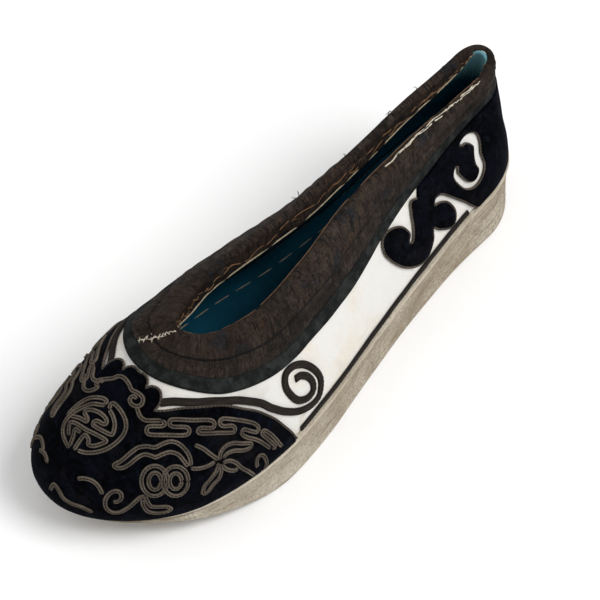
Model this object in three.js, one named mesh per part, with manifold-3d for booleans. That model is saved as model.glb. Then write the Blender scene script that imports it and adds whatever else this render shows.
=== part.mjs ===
// Chinese embroidered cloth shoe: layered cloth sole, hollow upper, velvet toe cap and heel counter,
// satin collar binding and braids. Millimetres, +X toe, +Y wearer's left, +Z up.
import * as THREE from 'three';
import { mergeVertices } from 'three/addons/utils/BufferGeometryUtils.js';
import Module from 'manifold-3d';

const wasm = await Module();
wasm.setup();

// Driving sizes of the last
const LENGTH = 250;             // heel to toe along the foot line
const BALL_WIDTH = 80;          // foot line across the ball
const HEEL_STACK = 31;          // top of the sole above the floor at the heel
const TOE_SPRING = 11;          // underside of the sole above the floor at the toe
const INSTEP_HEIGHT = 75;       // throat of the topline above the floor
const COLLAR_WIDTH = 29;        // widest part of the mouth
const HEEL_RADIUS = 27;         // plan radius of the heel end
const TOE_REACH = 66;           // length of the rounded toe end in plan
const TOE_FULLNESS = 2.1;       // exponent of the toe's rounded end
const SIDE_BOW = 9;             // sideways bow of the last at the ball

// Driving sizes of the pieces
const UPPER_WALL = 2;           // pasted cloth, facing and lining together
const CLEARANCE = 0.3;          // gap between pieces that touch
const SOLE_EDGE = 1.6;          // how far the sole stands out beyond the foot line
const SOLE_FLARE = 0.9;         // how much wider the underside of the sole is
const TOP_LAYER = 3;            // bound top layer of the sole
const TOP_LAYER_LIP = 0.7;      // how far the top layer stands out beyond the stack below
const INSOLE_THICKNESS = 1.6;
const BINDING_THICKNESS = 1.1;
const TRIM_THICKNESS = 0.9;
const VELVET_THICKNESS = 1.2;   // toe cap and heel counter
const BRAID_WIDTH = 3.2;
const BRAID_THICKNESS = 0.9;
const FOOT_BRAID_RISE = 2.6;    // middle of the foot braid above the foot line
const COUNTER_LENGTH = 93;      // heel to the front of the counter's scroll
const COUNTER_SLIT = 1.9;       // width of the opening cut round the counter's upper curl

// Grid of the upper
const SIDE_COLUMNS = 30;
const SOLE_COLUMNS = 26;
const EDGE_SEGMENTS = 2;        // straight segments between neighbouring points of a curved edge

// A table is rows of shares; its first column is the station the other columns hang on.
// Foot line from heel to toe: station, half width, sole top, sole underside, edge
const FOOT = {
  station: [0, 0.06, 0.15, 0.30, 0.45, 0.60, 0.70, 0.80, 0.90, 1],
  halfWidth: [0.600, 0.588, 0.608, 0.675, 0.790, 0.940, 0.995, 0.963, 0.938, 0.950],
  top: [1, 0.984, 0.871, 0.726, 0.703, 0.742, 0.710, 0.597, 0.484, 0.435],
  under: [0.09, 0, 0, 0, 0, 0, 0, 0.36, 0.82, 1],
  edge: [1.3, 1.15, 1, 1, 1, 1, 1, 0.8, 0.1, -0.5],
};
// Sideways bow of the centre line
const BOW = {
  station: [0, 0.15, 0.30, 0.50, 0.70, 0.85, 1],
  side: [0, 0, 0.24, 0.72, 1, 0.78, -0.33],
};
// Topline from heel to throat: share of the run, length station, half width, height
const TOPLINE = {
  run: [0, 0.10, 0.22, 0.36, 0.50, 0.62, 0.74, 0.86, 1],
  station: [0.020, 0.058, 0.150, 0.280, 0.405, 0.527, 0.640, 0.710, 0.765],
  halfWidth: [0.55, 0.55, 0.55, 0.52, 0.56, 0.82, 1, 0.90, 0.90],
  height: [1.087, 1.033, 1.007, 1, 0.987, 0.960, 0.967, 0.967, 1],
};
// Which part of the topline's run each foot station rises to
const FAN = {
  station: [0, 0.12, 0.30, 0.50, 0.66, 0.80, 0.92, 1],
  run: [0, 0.12, 0.30, 0.50, 0.66, 0.79, 0.90, 1],
};
// Side curve of the wall: handle at the foot (out, up) and handle at the topline (out, down)
const WALL_CURVE = {
  station: [0, 0.15, 0.35, 0.50, 0.62, 0.75, 0.88, 1],
  footOut: [-0.025, 0.0075, 0.025, 0.0375, 0.05, 0.075, 0.125, 0.1875],
  footUp: [0.221, 0.224, 0.203, 0.187, 0.189, 0.196, 0.213, 0.223],
  topOut: [0, 0.075, 0.075, 0.175, 0.275, 0.375, 0.625, 0.85],
  topDown: [0.213, 0.187, 0.160, 0.140, 0.133, 0.133, 0.120, 0.133],
};
// Depth of the collar bands below the topline, in shares of the widest depth
const BAND_DEPTH = 28.5;
const BANDS = {
  station: [0, 0.135, 0.32, 0.47, 0.53, 0.62, 0.75, 0.90, 1],
  depth: [0.36, 0.38, 0.67, 0.93, 1, 0.93, 0.88, 0.82, 0.70],
};
const BINDING_SHARE = 0.74;     // share of the band depth that the satin binding takes
const LOWER_ROWS = 6;           // rows between the bands and the foot line

// Shares on the wall: round from the heel (0) over the toe (1) and back (2), rise from foot line to topline
// Upper edge of the toe cap, from its side tip to the lobe under the throat
const CAP_EDGE = {
  round: [0.617, 0.633, 0.667, 0.713, 0.788, 0.868, 0.917, 0.926, 0.940, 0.962, 0.974, 1],
  rise: [0.03, 0.166, 0.367, 0.524, 0.653, 0.681, 0.655, 0.690, 0.733, 0.745, 0.775, 0.805],
};
// Braid tendril, from the notch of the toe cap along its edge and round the scroll
const TENDRIL = {
  round: [0.907, 0.890, 0.856, 0.810, 0.749, 0.697, 0.667, 0.641, 0.615, 0.593, 0.579, 0.575, 0.577,
    0.591, 0.611, 0.631, 0.645, 0.645, 0.635, 0.619, 0.601, 0.591, 0.593, 0.603, 0.617, 0.627],
  rise: [0.702, 0.707, 0.704, 0.690, 0.634, 0.530, 0.420, 0.312, 0.212, 0.150, 0.140, 0.185, 0.265,
    0.380, 0.494, 0.559, 0.557, 0.489, 0.401, 0.300, 0.239, 0.244, 0.306, 0.384, 0.448, 0.465],
};
const FOOT_BRAID_ENDS = [0.264, 0.607];   // round shares where the foot braid starts and stops

// Front edge of the heel counter from the side: shares of the counter's length and the instep height
const COUNTER_EDGE = {
  along: [0.371, 0.446, 0.509, 0.565, 0.614, 0.630, 0.595, 0.551, 0.523, 0.533, 0.570, 0.637, 0.676, 0.690,
    0.733, 0.785, 0.849, 0.925, 0.982, 1, 0.973, 0.914, 0.855, 0.823, 0.843, 0.818, 0.790, 0.774, 0.753, 0.710],
  height: [0.367, 0.481, 0.565, 0.635, 0.651, 0.621, 0.608, 0.573, 0.500, 0.432, 0.419, 0.471, 0.515, 0.453,
    0.396, 0.389, 0.424, 0.501, 0.597, 0.667, 0.725, 0.723, 0.683, 0.617, 0.581, 0.561, 0.620, 0.693, 0.747, 0.733],
};
// Middle line of the opening round the counter's upper curl, in the same shares
const COUNTER_CURL = {
  along: [0.391, 0.349, 0.312, 0.303, 0.315, 0.318, 0.312, 0.325, 0.355, 0.389, 0.426, 0.452, 0.462, 0.446],
  height: [0.799, 0.805, 0.780, 0.740, 0.693, 0.653, 0.613, 0.577, 0.551, 0.551, 0.580, 0.633, 0.673, 0.707],
};

// Monotone cubic through one column of a table, with its station scaled to the wanted length
function through(stations, values, scaleIn, scaleOut) {
  const xs = stations.map((s) => s * scaleIn);
  const ys = values.map((v) => v * scaleOut);
  const last = xs.length - 1;
  const step = [];
  const slope = [];
  for (let i = 0; i < last; i++) {
    step.push(xs[i + 1] - xs[i]);
    slope.push((ys[i + 1] - ys[i]) / step[i]);
  }
  const tangent = [slope[0]];
  for (let i = 1; i < last; i++) {
    const before = slope[i - 1];
    const after = slope[i];
    if (before * after <= 0) {
      tangent.push(0);
      continue;
    }
    const w1 = 2 * step[i] + step[i - 1];
    const w2 = step[i] + 2 * step[i - 1];
    tangent.push((w1 + w2) / (w1 / before + w2 / after));
  }
  tangent.push(slope[last - 1]);
  return (x) => {
    const clamped = Math.min(Math.max(x, xs[0]), xs[last]);
    let i = 0;
    while (i < last - 1 && clamped > xs[i + 1]) i++;
    const t = (clamped - xs[i]) / step[i];
    const t2 = t * t;
    const t3 = t2 * t;
    return (2 * t3 - 3 * t2 + 1) * ys[i] + (t3 - 2 * t2 + t) * step[i] * tangent[i]
      + (3 * t2 - 2 * t3) * ys[i + 1] + (t3 - t2) * step[i] * tangent[i + 1];
  };
}

const footHalf = through(FOOT.station, FOOT.halfWidth, LENGTH, BALL_WIDTH / 2);
const soleTop = through(FOOT.station, FOOT.top, LENGTH, HEEL_STACK);
const soleUnder = through(FOOT.station, FOOT.under, LENGTH, TOE_SPRING);
const soleEdge = through(FOOT.station, FOOT.edge, LENGTH, SOLE_EDGE);
const bow = through(BOW.station, BOW.side, LENGTH, SIDE_BOW);
const toplineStation = through(TOPLINE.run, TOPLINE.station, 1, LENGTH);
const toplineHalf = through(TOPLINE.station, TOPLINE.halfWidth, LENGTH, COLLAR_WIDTH / 2);
const toplineHeight = through(TOPLINE.run, TOPLINE.height, 1, INSTEP_HEIGHT);
const fanRun = through(FAN.station, FAN.run, LENGTH, 1);
const footOut = through(WALL_CURVE.station, WALL_CURVE.footOut, LENGTH, BALL_WIDTH / 2);
const footUp = through(WALL_CURVE.station, WALL_CURVE.footUp, LENGTH, INSTEP_HEIGHT);
const topOut = through(WALL_CURVE.station, WALL_CURVE.topOut, LENGTH, BALL_WIDTH / 2);
const topDown = through(WALL_CURVE.station, WALL_CURVE.topDown, LENGTH, INSTEP_HEIGHT);
const bandDepth = through(BANDS.station, BANDS.depth, LENGTH, BAND_DEPTH);

// Plan rounding of the foot line: a quarter circle at the heel, a superellipse at the toe
function endRounding(x) {
  const heel = Math.min(Math.max(1 - x / HEEL_RADIUS, 0), 1);
  const toe = Math.min(Math.max(1 - (LENGTH - x) / TOE_REACH, 0), 1);
  return Math.sqrt(1 - heel * heel) * Math.pow(1 - Math.pow(toe, TOE_FULLNESS), 1 / TOE_FULLNESS);
}

// Foot line, its outward plan direction, and the topline, at share u from heel to toe
function footPoint(u) {
  const x = LENGTH * (1 - Math.cos(Math.PI * u)) / 2;
  return new THREE.Vector3(x, footHalf(x) * endRounding(x), soleTop(x));
}

function footOutward(u) {
  if (u < 1e-6) return new THREE.Vector3(-1, 0, 0);
  if (u > 1 - 1e-6) return new THREE.Vector3(1, 0, 0);
  const step = 0.002;
  const ahead = footPoint(Math.min(u + step, 1));
  const behind = footPoint(Math.max(u - step, 0));
  const along = ahead.sub(behind);
  return new THREE.Vector3(-along.y, along.x, 0).normalize();
}

const TOPLINE_HEEL_REACH = 9;     // length over which the topline rounds at the heel
const TOPLINE_THROAT_REACH = 28;  // length over which it rounds at the throat
function toplinePoint(run) {
  const x = toplineStation(run);
  const heel = Math.min((x - toplineStation(0)) / TOPLINE_HEEL_REACH, 1);
  const throat = Math.min((toplineStation(1) - x) / TOPLINE_THROAT_REACH, 1);
  const rounding = Math.sqrt(1 - (1 - heel) ** 2) * Math.sqrt(1 - (1 - throat) ** 2);
  return new THREE.Vector3(x, toplineHalf(x) * rounding, toplineHeight(run));
}

// Side wall: a cubic curve from the foot line up to the topline
const WALL_STEP_COUNT = 48;
function wallCurve(u) {
  const foot = footPoint(u);
  const out = footOutward(u);
  const top = toplinePoint(fanRun(foot.x));
  const low = foot.clone().addScaledVector(out, footOut(foot.x));
  low.z += footUp(foot.x);
  const high = top.clone().addScaledVector(out, topOut(foot.x));
  high.z -= topDown(foot.x);
  foot.z += CLEARANCE;
  return new THREE.CubicBezierCurve3(foot, low, high, top);
}

// Rows of the upper on one column: the topline, the band edges, the open wall, the foot
function columnPoints(u) {
  const points = wallCurve(u).getPoints(WALL_STEP_COUNT);
  const run = [0];
  for (let k = WALL_STEP_COUNT; k > 0; k--) {
    run.push(run[run.length - 1] + points[k].distanceTo(points[k - 1]));
  }
  const total = run[WALL_STEP_COUNT];
  const depth = bandDepth(footPoint(u).x);
  const rows = [0, depth * BINDING_SHARE / 2, depth * BINDING_SHARE,
    depth * BINDING_SHARE + CLEARANCE, depth, depth + CLEARANCE];
  const wallTop = rows[rows.length - 1];
  for (let k = 1; k <= LOWER_ROWS; k++) rows.push(wallTop + (total - wallTop) * k / LOWER_ROWS);
  return rows.map((distance) => {
    let k = 0;
    while (k < WALL_STEP_COUNT - 1 && run[k + 1] < distance) k++;
    const share = (distance - run[k]) / (run[k + 1] - run[k]);
    return points[WALL_STEP_COUNT - k].clone().lerp(points[WALL_STEP_COUNT - k - 1], share);
  });
}
const ROW = { top: 0, bindingFoot: 2, trimTop: 3, trimFoot: 4, wallTop: 5 };
ROW.foot = ROW.wallTop + LOWER_ROWS;

// The upper's surface as a closed ring of columns, from the heel round the wearer's left and back
const ring = [];
for (let i = 0; i <= SIDE_COLUMNS; i++) ring.push(columnPoints(i / SIDE_COLUMNS));
for (let i = SIDE_COLUMNS - 1; i > 0; i--) {
  ring.push(ring[i].map((p) => new THREE.Vector3(p.x, -p.y, p.z)));
}
const ringNormals = ring.map((column, i) => {
  const ahead = ring[(i + 1) % ring.length];
  const behind = ring[(i + ring.length - 1) % ring.length];
  return column.map((p, j) => {
    const upper = column[Math.max(j - 1, 0)];
    const lower = column[Math.min(j + 1, column.length - 1)];
    const along = ahead[j].clone().sub(behind[j]);
    return along.cross(upper.clone().sub(lower)).normalize().negate();
  });
});

function lifted(i, j, lift) {
  const k = (i + ring.length) % ring.length;
  return ring[k][j].clone().addScaledVector(ringNormals[k][j], lift);
}

// Bends the straight last sideways
function bend(vertices) {
  for (let k = 0; k < vertices.length; k += 3) vertices[k + 1] += bow(vertices[k]);
  return vertices;
}

function closedGeometry(positions) {
  const geometry = new THREE.BufferGeometry();
  geometry.setAttribute('position', new THREE.Float32BufferAttribute(positions, 3));
  return mergeVertices(geometry, 1e-4);
}

function quad(out, a, b, c, d) {
  for (const p of [a, b, c, a, c, d]) out.push(p.x, p.y, p.z);
}

// Closed shell between an outer and an inner grid of points: columns of rows that run downwards
function shellBetween(outer, inner, isRing) {
  const out = [];
  const columns = outer.length;
  const last = outer[0].length - 1;
  for (let i = 0; i < (isRing ? columns : columns - 1); i++) {
    const k = (i + 1) % columns;
    for (let j = 0; j < last; j++) {
      quad(out, outer[i][j], outer[k][j], outer[k][j + 1], outer[i][j + 1]);
      quad(out, inner[i][j], inner[i][j + 1], inner[k][j + 1], inner[k][j]);
    }
    quad(out, inner[i][0], inner[k][0], outer[k][0], outer[i][0]);
    quad(out, outer[i][last], outer[k][last], inner[k][last], inner[i][last]);
  }
  for (let j = 0; j < last && !isRing; j++) {
    const end = columns - 1;
    quad(out, outer[0][j], outer[0][j + 1], inner[0][j + 1], inner[0][j]);
    quad(out, inner[end][j], inner[end][j + 1], outer[end][j + 1], outer[end][j]);
  }
  return closedGeometry(out);
}

// Shell over rows firstRow to lastRow, all round the ring, between two lifts off the surface
function ringShell(firstRow, lastRow, inner, outer) {
  const grid = (lift) => ring.map((column, i) => column.slice(firstRow, lastRow + 1)
    .map((point, j) => lifted(i, firstRow + j, lift)));
  return shellBetween(grid(outer), grid(inner), true);
}

// A point of the wall at its shares round and rise, lifted off the surface, and the outward direction there
function wallPoint(round, rise) {
  const point = wallCurve(round <= 1 ? round : 2 - round).getPointAt(rise);
  if (round > 1) point.y *= -1;
  return point;
}

function wallNormal(round, rise) {
  const step = 0.004;
  const along = wallPoint(round + step, rise).sub(wallPoint(round - step, rise));
  const up = wallPoint(round, Math.min(rise + step, 1)).sub(wallPoint(round, Math.max(rise - step, 0)));
  return up.cross(along).normalize();
}

// Thick slab over the toe whose upper edge is the cap's edge; it cuts the cap out of a thin shell
const CAP_COLUMNS = 44;
const CAP_ROWS = 8;
const CUTTER_LIFT = 5;            // how far the slab stands inside and outside the wall, and below the foot line
function capCutter() {
  const edge = through(CAP_EDGE.round, CAP_EDGE.rise, 1, 1);
  const tip = CAP_EDGE.round[0];
  const outer = [];
  const inner = [];
  for (let i = 0; i <= CAP_COLUMNS; i++) {
    const round = tip + (2 - 2 * tip) * i / CAP_COLUMNS;
    const top = edge(round <= 1 ? round : 2 - round);
    const column = [];
    for (let j = 0; j <= CAP_ROWS; j++) {
      const rise = top * (1 - j / CAP_ROWS);
      column.push({ point: wallPoint(round, rise), out: wallNormal(round, rise) });
    }
    const below = column[CAP_ROWS];
    column.push({ point: below.point.clone().setZ(below.point.z - CUTTER_LIFT), out: below.out });
    outer.push(column.map((c) => c.point.clone().addScaledVector(c.out, CUTTER_LIFT)));
    inner.push(column.map((c) => c.point.clone().addScaledVector(c.out, -CUTTER_LIFT)));
  }
  return toSolid(shellBetween(outer, inner, false));
}

// Prism across the shoe with the counter's side outline, with the opening round its upper curl
function sidePoints(table) {
  return table.along.map((share, i) => new THREE.Vector2(share * COUNTER_LENGTH, table.height[i] * INSTEP_HEIGHT));
}

const CURL_STEPS = 24;
function counterCutter() {
  const edge = sidePoints(COUNTER_EDGE);
  const outline = new THREE.Shape();
  outline.moveTo(-HEEL_RADIUS, 0);
  outline.lineTo(edge[0].x, 0);
  outline.lineTo(edge[0].x, edge[0].y);
  outline.splineThru(edge.slice(1));
  outline.lineTo(edge[edge.length - 1].x, 2 * INSTEP_HEIGHT);
  outline.lineTo(-HEEL_RADIUS, 2 * INSTEP_HEIGHT);
  outline.closePath();
  const middle = new THREE.SplineCurve(sidePoints(COUNTER_CURL));
  const near = [];
  const far = [];
  for (let k = 0; k <= CURL_STEPS; k++) {
    const point = middle.getPoint(k / CURL_STEPS);
    const along = middle.getTangent(k / CURL_STEPS);
    const across = new THREE.Vector2(-along.y, along.x).multiplyScalar(COUNTER_SLIT / 2);
    near.push(point.clone().add(across));
    far.unshift(point.clone().sub(across));
  }
  outline.holes.push(new THREE.Path([...near, ...far]));
  const prism = new THREE.ExtrudeGeometry(outline,
    { depth: 2 * BALL_WIDTH, bevelEnabled: false, curveSegments: EDGE_SEGMENTS });
  prism.translate(0, 0, -BALL_WIDTH);
  prism.rotateX(Math.PI / 2);
  prism.deleteAttribute('normal');
  prism.deleteAttribute('uv');
  return toSolid(mergeVertices(prism, 1e-4));
}

// Flat braid carried along a path of wall shares, on the left or mirrored to the right
function braid(path, steps, side) {
  const curve = new THREE.CatmullRomCurve3(path.map((p) => new THREE.Vector3(p.x, p.y, 0)));
  const sections = [];
  for (let k = 0; k <= steps; k++) {
    const at = curve.getPoint(k / steps);
    const round = side > 0 ? at.x : 2 - at.x;
    sections.push({ point: wallPoint(round, at.y), out: wallNormal(round, at.y) });
  }
  const corners = sections.map((section, k) => {
    const ahead = sections[Math.min(k + 1, steps)].point;
    const behind = sections[Math.max(k - 1, 0)].point;
    const across = section.out.clone().cross(ahead.clone().sub(behind)).normalize();
    const corner = (half, lift) => section.point.clone()
      .addScaledVector(across, half * BRAID_WIDTH / 2).addScaledVector(section.out, lift);
    const top = CLEARANCE + BRAID_THICKNESS;
    return [corner(-1, CLEARANCE), corner(-1, top), corner(1, top), corner(1, CLEARANCE)];
  });
  const out = [];
  for (let k = 0; k < steps; k++) {
    for (let c = 0; c < 4; c++) {
      const d = (c + 1) % 4;
      quad(out, corners[k][c], corners[k + 1][c], corners[k + 1][d], corners[k][d]);
    }
  }
  quad(out, ...corners[0]);
  quad(out, ...corners[steps].slice().reverse());
  return closedGeometry(out);
}

// Closed plate over the foot line: its edge at one offset above and another below
function solePlate(columns, upperZ, lowerZ, upperEdge, lowerEdge) {
  const rim = [];
  for (let i = 0; i <= columns; i++) {
    const u = i / columns;
    const foot = footPoint(u);
    const out = footOutward(u);
    const above = foot.clone().addScaledVector(out, upperEdge(foot.x));
    const below = foot.clone().addScaledVector(out, lowerEdge(foot.x));
    above.z = upperZ(foot.x);
    below.z = lowerZ(foot.x);
    if (i === 0 || i === columns) {
      above.y = 0;
      below.y = 0;
    }
    rim.push({ above, below });
  }
  const mirror = (p) => new THREE.Vector3(p.x, -p.y, p.z);
  const middle = (p) => new THREE.Vector3(p.x, 0, p.z);
  const out = [];
  for (let i = 0; i < columns; i++) {
    const a = rim[i];
    const b = rim[i + 1];
    quad(out, a.above, middle(a.above), middle(b.above), b.above);
    quad(out, middle(a.above), mirror(a.above), mirror(b.above), middle(b.above));
    quad(out, a.below, b.below, middle(b.below), middle(a.below));
    quad(out, middle(a.below), middle(b.below), mirror(b.below), mirror(a.below));
    quad(out, a.above, b.above, b.below, a.below);
    quad(out, mirror(a.above), mirror(a.below), mirror(b.below), mirror(b.above));
  }
  return closedGeometry(dropFlat(out));
}

// Leaves out triangles that two equal corners make flat
function dropFlat(positions) {
  const out = [];
  const a = new THREE.Vector3();
  const b = new THREE.Vector3();
  const c = new THREE.Vector3();
  for (let k = 0; k < positions.length; k += 9) {
    a.fromArray(positions, k);
    b.fromArray(positions, k + 3);
    c.fromArray(positions, k + 6);
    if (a.distanceTo(b) < 1e-4 || b.distanceTo(c) < 1e-4 || c.distanceTo(a) < 1e-4) continue;
    out.push(...positions.slice(k, k + 9));
  }
  return out;
}

function toSolid(geometry) {
  const mesh = new wasm.Mesh({
    numProp: 3,
    vertProperties: new Float32Array(geometry.attributes.position.array),
    triVerts: new Uint32Array(geometry.index.array),
  });
  return new wasm.Manifold(mesh);
}

function fromSolid(solid) {
  const mesh = solid.getMesh();
  const geometry = new THREE.BufferGeometry();
  geometry.setAttribute('position', new THREE.BufferAttribute(Float32Array.from(mesh.vertProperties), 3));
  geometry.setIndex(new THREE.BufferAttribute(Uint32Array.from(mesh.triVerts), 1));
  return geometry;
}

const shoe = new THREE.Group();
function piece(name, geometry, color, roughness) {
  const bent = geometry.clone();
  bend(bent.attributes.position.array);
  const mesh = new THREE.Mesh(bent, new THREE.MeshStandardMaterial({ color, roughness, metalness: 0 }));
  mesh.name = name;
  shoe.add(mesh);
  return mesh;
}

// Sole: a stack of cloth layers, and the bound top layer that stands out over it
const layerFoot = (x) => soleTop(x) - Math.min(TOP_LAYER, (soleTop(x) - soleUnder(x)) / 2);
piece('sole_stack',
  solePlate(SOLE_COLUMNS, (x) => layerFoot(x) - CLEARANCE, soleUnder,
    (x) => soleEdge(x) - TOP_LAYER_LIP, (x) => soleEdge(x) - TOP_LAYER_LIP + SOLE_FLARE), 0xcfc6b2, 0.95);
piece('sole_top_layer', solePlate(SOLE_COLUMNS, soleTop, layerFoot, soleEdge, soleEdge), 0xe9e4d6, 0.9);

// Insole, inside the wall of the upper
const insoleEdge = () => -(UPPER_WALL + 2 * CLEARANCE);
piece('insole', solePlate(SOLE_COLUMNS, (x) => soleTop(x) + CLEARANCE + INSOLE_THICKNESS,
  (x) => soleTop(x) + CLEARANCE, insoleEdge, insoleEdge), 0x9fa89f, 0.95);

// Upper: one hollow wall, open at the mouth and underneath
piece('upper', ringShell(ROW.top, ROW.foot, -UPPER_WALL, 0), 0xe8e5dc, 0.9);

// Collar bands over the upper: brown satin binding and the dark ribbon under it
piece('collar_binding', ringShell(ROW.top, ROW.bindingFoot, CLEARANCE, CLEARANCE + BINDING_THICKNESS), 0x3a2d28, 0.6);
piece('collar_ribbon', ringShell(ROW.trimTop, ROW.trimFoot, CLEARANCE, CLEARANCE + TRIM_THICKNESS), 0x1c1d24, 0.7);

// Velvet over the wall, from under the ribbon to the foot line, cut to the cap's and the counter's outline
const velvet = toSolid(ringShell(ROW.wallTop, ROW.foot, CLEARANCE, CLEARANCE + VELVET_THICKNESS));
piece('toe_cap', fromSolid(velvet.intersect(capCutter())), 0x14161f, 0.95);
piece('heel_counter', fromSolid(velvet.intersect(counterCutter())), 0x14161f, 0.95);

// Dark braids on each side: a tendril that ends in a scroll, and a straight one along the foot line
const TENDRIL_STEPS = 72;
const FOOT_BRAID_STEPS = 18;
const tendrilPath = TENDRIL.round.map((round, i) => new THREE.Vector2(round, TENDRIL.rise[i]));
const footPath = [];
for (let k = 0; k <= FOOT_BRAID_STEPS; k++) {
  const round = THREE.MathUtils.lerp(FOOT_BRAID_ENDS[0], FOOT_BRAID_ENDS[1], k / FOOT_BRAID_STEPS);
  footPath.push(new THREE.Vector2(round, FOOT_BRAID_RISE / wallCurve(round).getLength()));
}
for (const [name, side] of [['left', 1], ['right', -1]]) {
  piece(`tendril_${name}`, braid(tendrilPath, TENDRIL_STEPS, side), 0x2a2624, 0.85);
  piece(`foot_braid_${name}`, braid(footPath, FOOT_BRAID_STEPS, side), 0x2a2624, 0.85);
}

// The origin is under the middle of the shoe, on the floor
const extent = new THREE.Box3().setFromObject(shoe);
const centre = extent.getCenter(new THREE.Vector3());
shoe.position.set(-centre.x, -centre.y, -extent.min.z);
shoe.updateMatrixWorld(true);

export default shoe;
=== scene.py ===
import math

import bmesh
import bpy
import numpy as np
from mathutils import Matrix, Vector


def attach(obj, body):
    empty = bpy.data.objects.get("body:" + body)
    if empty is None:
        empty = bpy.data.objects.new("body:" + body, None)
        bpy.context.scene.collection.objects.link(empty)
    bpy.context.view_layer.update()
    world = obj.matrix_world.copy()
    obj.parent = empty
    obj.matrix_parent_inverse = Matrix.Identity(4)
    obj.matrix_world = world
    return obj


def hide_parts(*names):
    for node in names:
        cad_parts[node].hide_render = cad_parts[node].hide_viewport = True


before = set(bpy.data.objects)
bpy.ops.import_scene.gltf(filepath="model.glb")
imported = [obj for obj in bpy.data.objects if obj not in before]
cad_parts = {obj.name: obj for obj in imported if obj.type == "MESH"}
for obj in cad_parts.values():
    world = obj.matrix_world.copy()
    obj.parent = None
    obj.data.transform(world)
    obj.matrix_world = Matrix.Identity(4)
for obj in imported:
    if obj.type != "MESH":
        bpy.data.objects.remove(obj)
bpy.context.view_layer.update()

bl_info = {
    "name": "Embroidered cloth shoe",
    "version": (1, 0, 0),
    "blender": (4, 5, 0),
    "location": "3D View > Sidebar > Cloth shoe",
    "description": "Cloth shoe with a layered sole, velvet cap and counter, satin collar, braids and cords",
    "category": "Object",
}

# The last's own sizes are in millimetres; meshes are made in metres
MM = 0.001

LENGTH = 250.0              # heel to toe along the foot line
BALL_WIDTH = 80.0           # foot line across the ball
HEEL_STACK = 31.0           # top of the sole above the floor at the heel
TOE_SPRING = 11.0           # underside of the sole above the floor at the toe
INSTEP_HEIGHT = 75.0        # throat of the topline above the floor
COLLAR_WIDTH = 29.0         # widest part of the mouth
HEEL_RADIUS = 27.0          # plan radius of the heel end
TOE_REACH = 66.0            # length of the rounded toe end in plan
TOE_FULLNESS = 2.1          # exponent of the toe's rounded end
SIDE_BOW = 9.0              # sideways bow of the last at the ball
TOPLINE_HEEL_REACH = 9.0    # length over which the topline rounds at the heel
TOPLINE_THROAT_REACH = 28.0
UPPER_WALL = 2.0
CLEARANCE = 0.3
SOLE_EDGE = 1.6             # how far the sole stands out beyond the foot line
SOLE_FLARE = 0.9            # how much wider the underside of the sole is
TOP_LAYER = 3.0             # bound top layer of the sole
TOP_LAYER_LIP = 0.7
INSOLE_THICKNESS = 1.6
BAND_DEPTH = 28.5           # deepest collar band, measured down the wall
BINDING_SHARE = 0.74        # share of the band depth that the satin takes
BINDING_SEAM = 0.42         # share of the band depth where the two satin strips meet
BINDING_THICKNESS = 1.1
TURN_IN_THICKNESS = 0.45
TURN_IN_FLARE = 0.9         # how far the folded satin hangs in towards the middle of the mouth
TRIM_THICKNESS = 0.9
VELVET_THICKNESS = 1.2
BRAID_WIDTH = 3.2
BRAID_THICKNESS = 0.9
FOOT_BRAID_RISE = 2.6
COUNTER_LENGTH = 93.0       # heel to the front of the counter's scroll
COUPLE_WIDTH = 1.85         # two couched cords side by side
COUPLE_HEIGHT = 0.7
EDGE_CORD_RADIUS = 0.5
STITCH_INSET = 7.0          # insole's stitches in from its edge
CURL_CORD_GAP = 0.9         # how much wider than the curl's opening its cord runs
INSOLE_INSET = UPPER_WALL + 2 * CLEARANCE
FACING_DEPTH = 1.2          # how deep in the wall the facing cloth ends
LINING_DEPTH = 1.3          # how deep in the wall the lining starts
RIBBON_TUCK = 0.8           # how far the ribbon reaches up under the binding
RIBBON_RIB = 0.45
VELVET_EDGE = 0.1           # thickness of the velvet right at its cut edge
VELVET_ROUNDING = 1.1       # how far in from the edge the pile reaches its full height
VELVET_BACKING = 0.25
EDGE_CORD_LIFT = 0.55
COUCHING_STEP = 1.5         # from one stitch over a pair of cords to the next
LIP_ROUND = 0.7             # how tall the fold over the lip is for its half width

# Wall shares: a cap's corner in its table, the highest cap and motif, and half the counter round the heel
CAP_CORNER = 8
CAP_TOP = 0.83
MOTIF_RISE = (0.012, 0.79)
COUNTER_ROUND = 0.50
STITCH_ROUND, STITCH_GAP = 0.021, 0.008
RUBBED_LIP = ((0.22, 0.30), (0.33, 0.47), (0.49, 0.66), (0.67, 0.86), (0.88, 0.99), (1.03, 1.12))
HEEL_PEAK_END = 0.17        # round share up to which the satin stops on the lip at the heel
THROAT_START = 0.74         # round share from which it does so, mostly, at the throat
THROAT_REACH = 0.2

# Millimetres that patterns count along one unit of round or rise, and lengths of the lip for one of round
ROUND_LENGTH, RISE_LENGTH = 340.0, 65.0
LIP_LENGTH = 190.0
LOOSE_LENGTH = 300.0

# Steps of the meshes in millimetres or wall shares, and counts of their columns and rows
BRAID_STEP = 0.35
COUPLE_STEP = 0.3
WALL_STEP = 0.003
CREASE_FADE = 8             # creases have their full depth above an eighth of the wall
COLLAR_COLUMNS, RIBBON_ROWS = 760, 14
PLATE_ROWS = 13
OVAL_STEPS = 18
GRIDS = {
    "sole_body": (420, 26),
    "sole_rim": (420, 10),
    "insole_cloth": (240, 4),
    "upper_cloth": (480, 48),
    "upper_lining": (720, 36),
    "toe_cap_velvet": (380, 94),
    "heel_counter_velvet": (560, 104),
}
# First and last share and count of the grids on which a search on the wall starts, round and rise
PHOTO_SEARCH = ((0.5, 1.12, 125), (0.02, 0.9, 60))
SIDE_SEARCH = ((0.05, 0.7, 120), (0.0, 1.0, 50))

UP = np.array([0.0, 0.0, 1.0])

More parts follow.
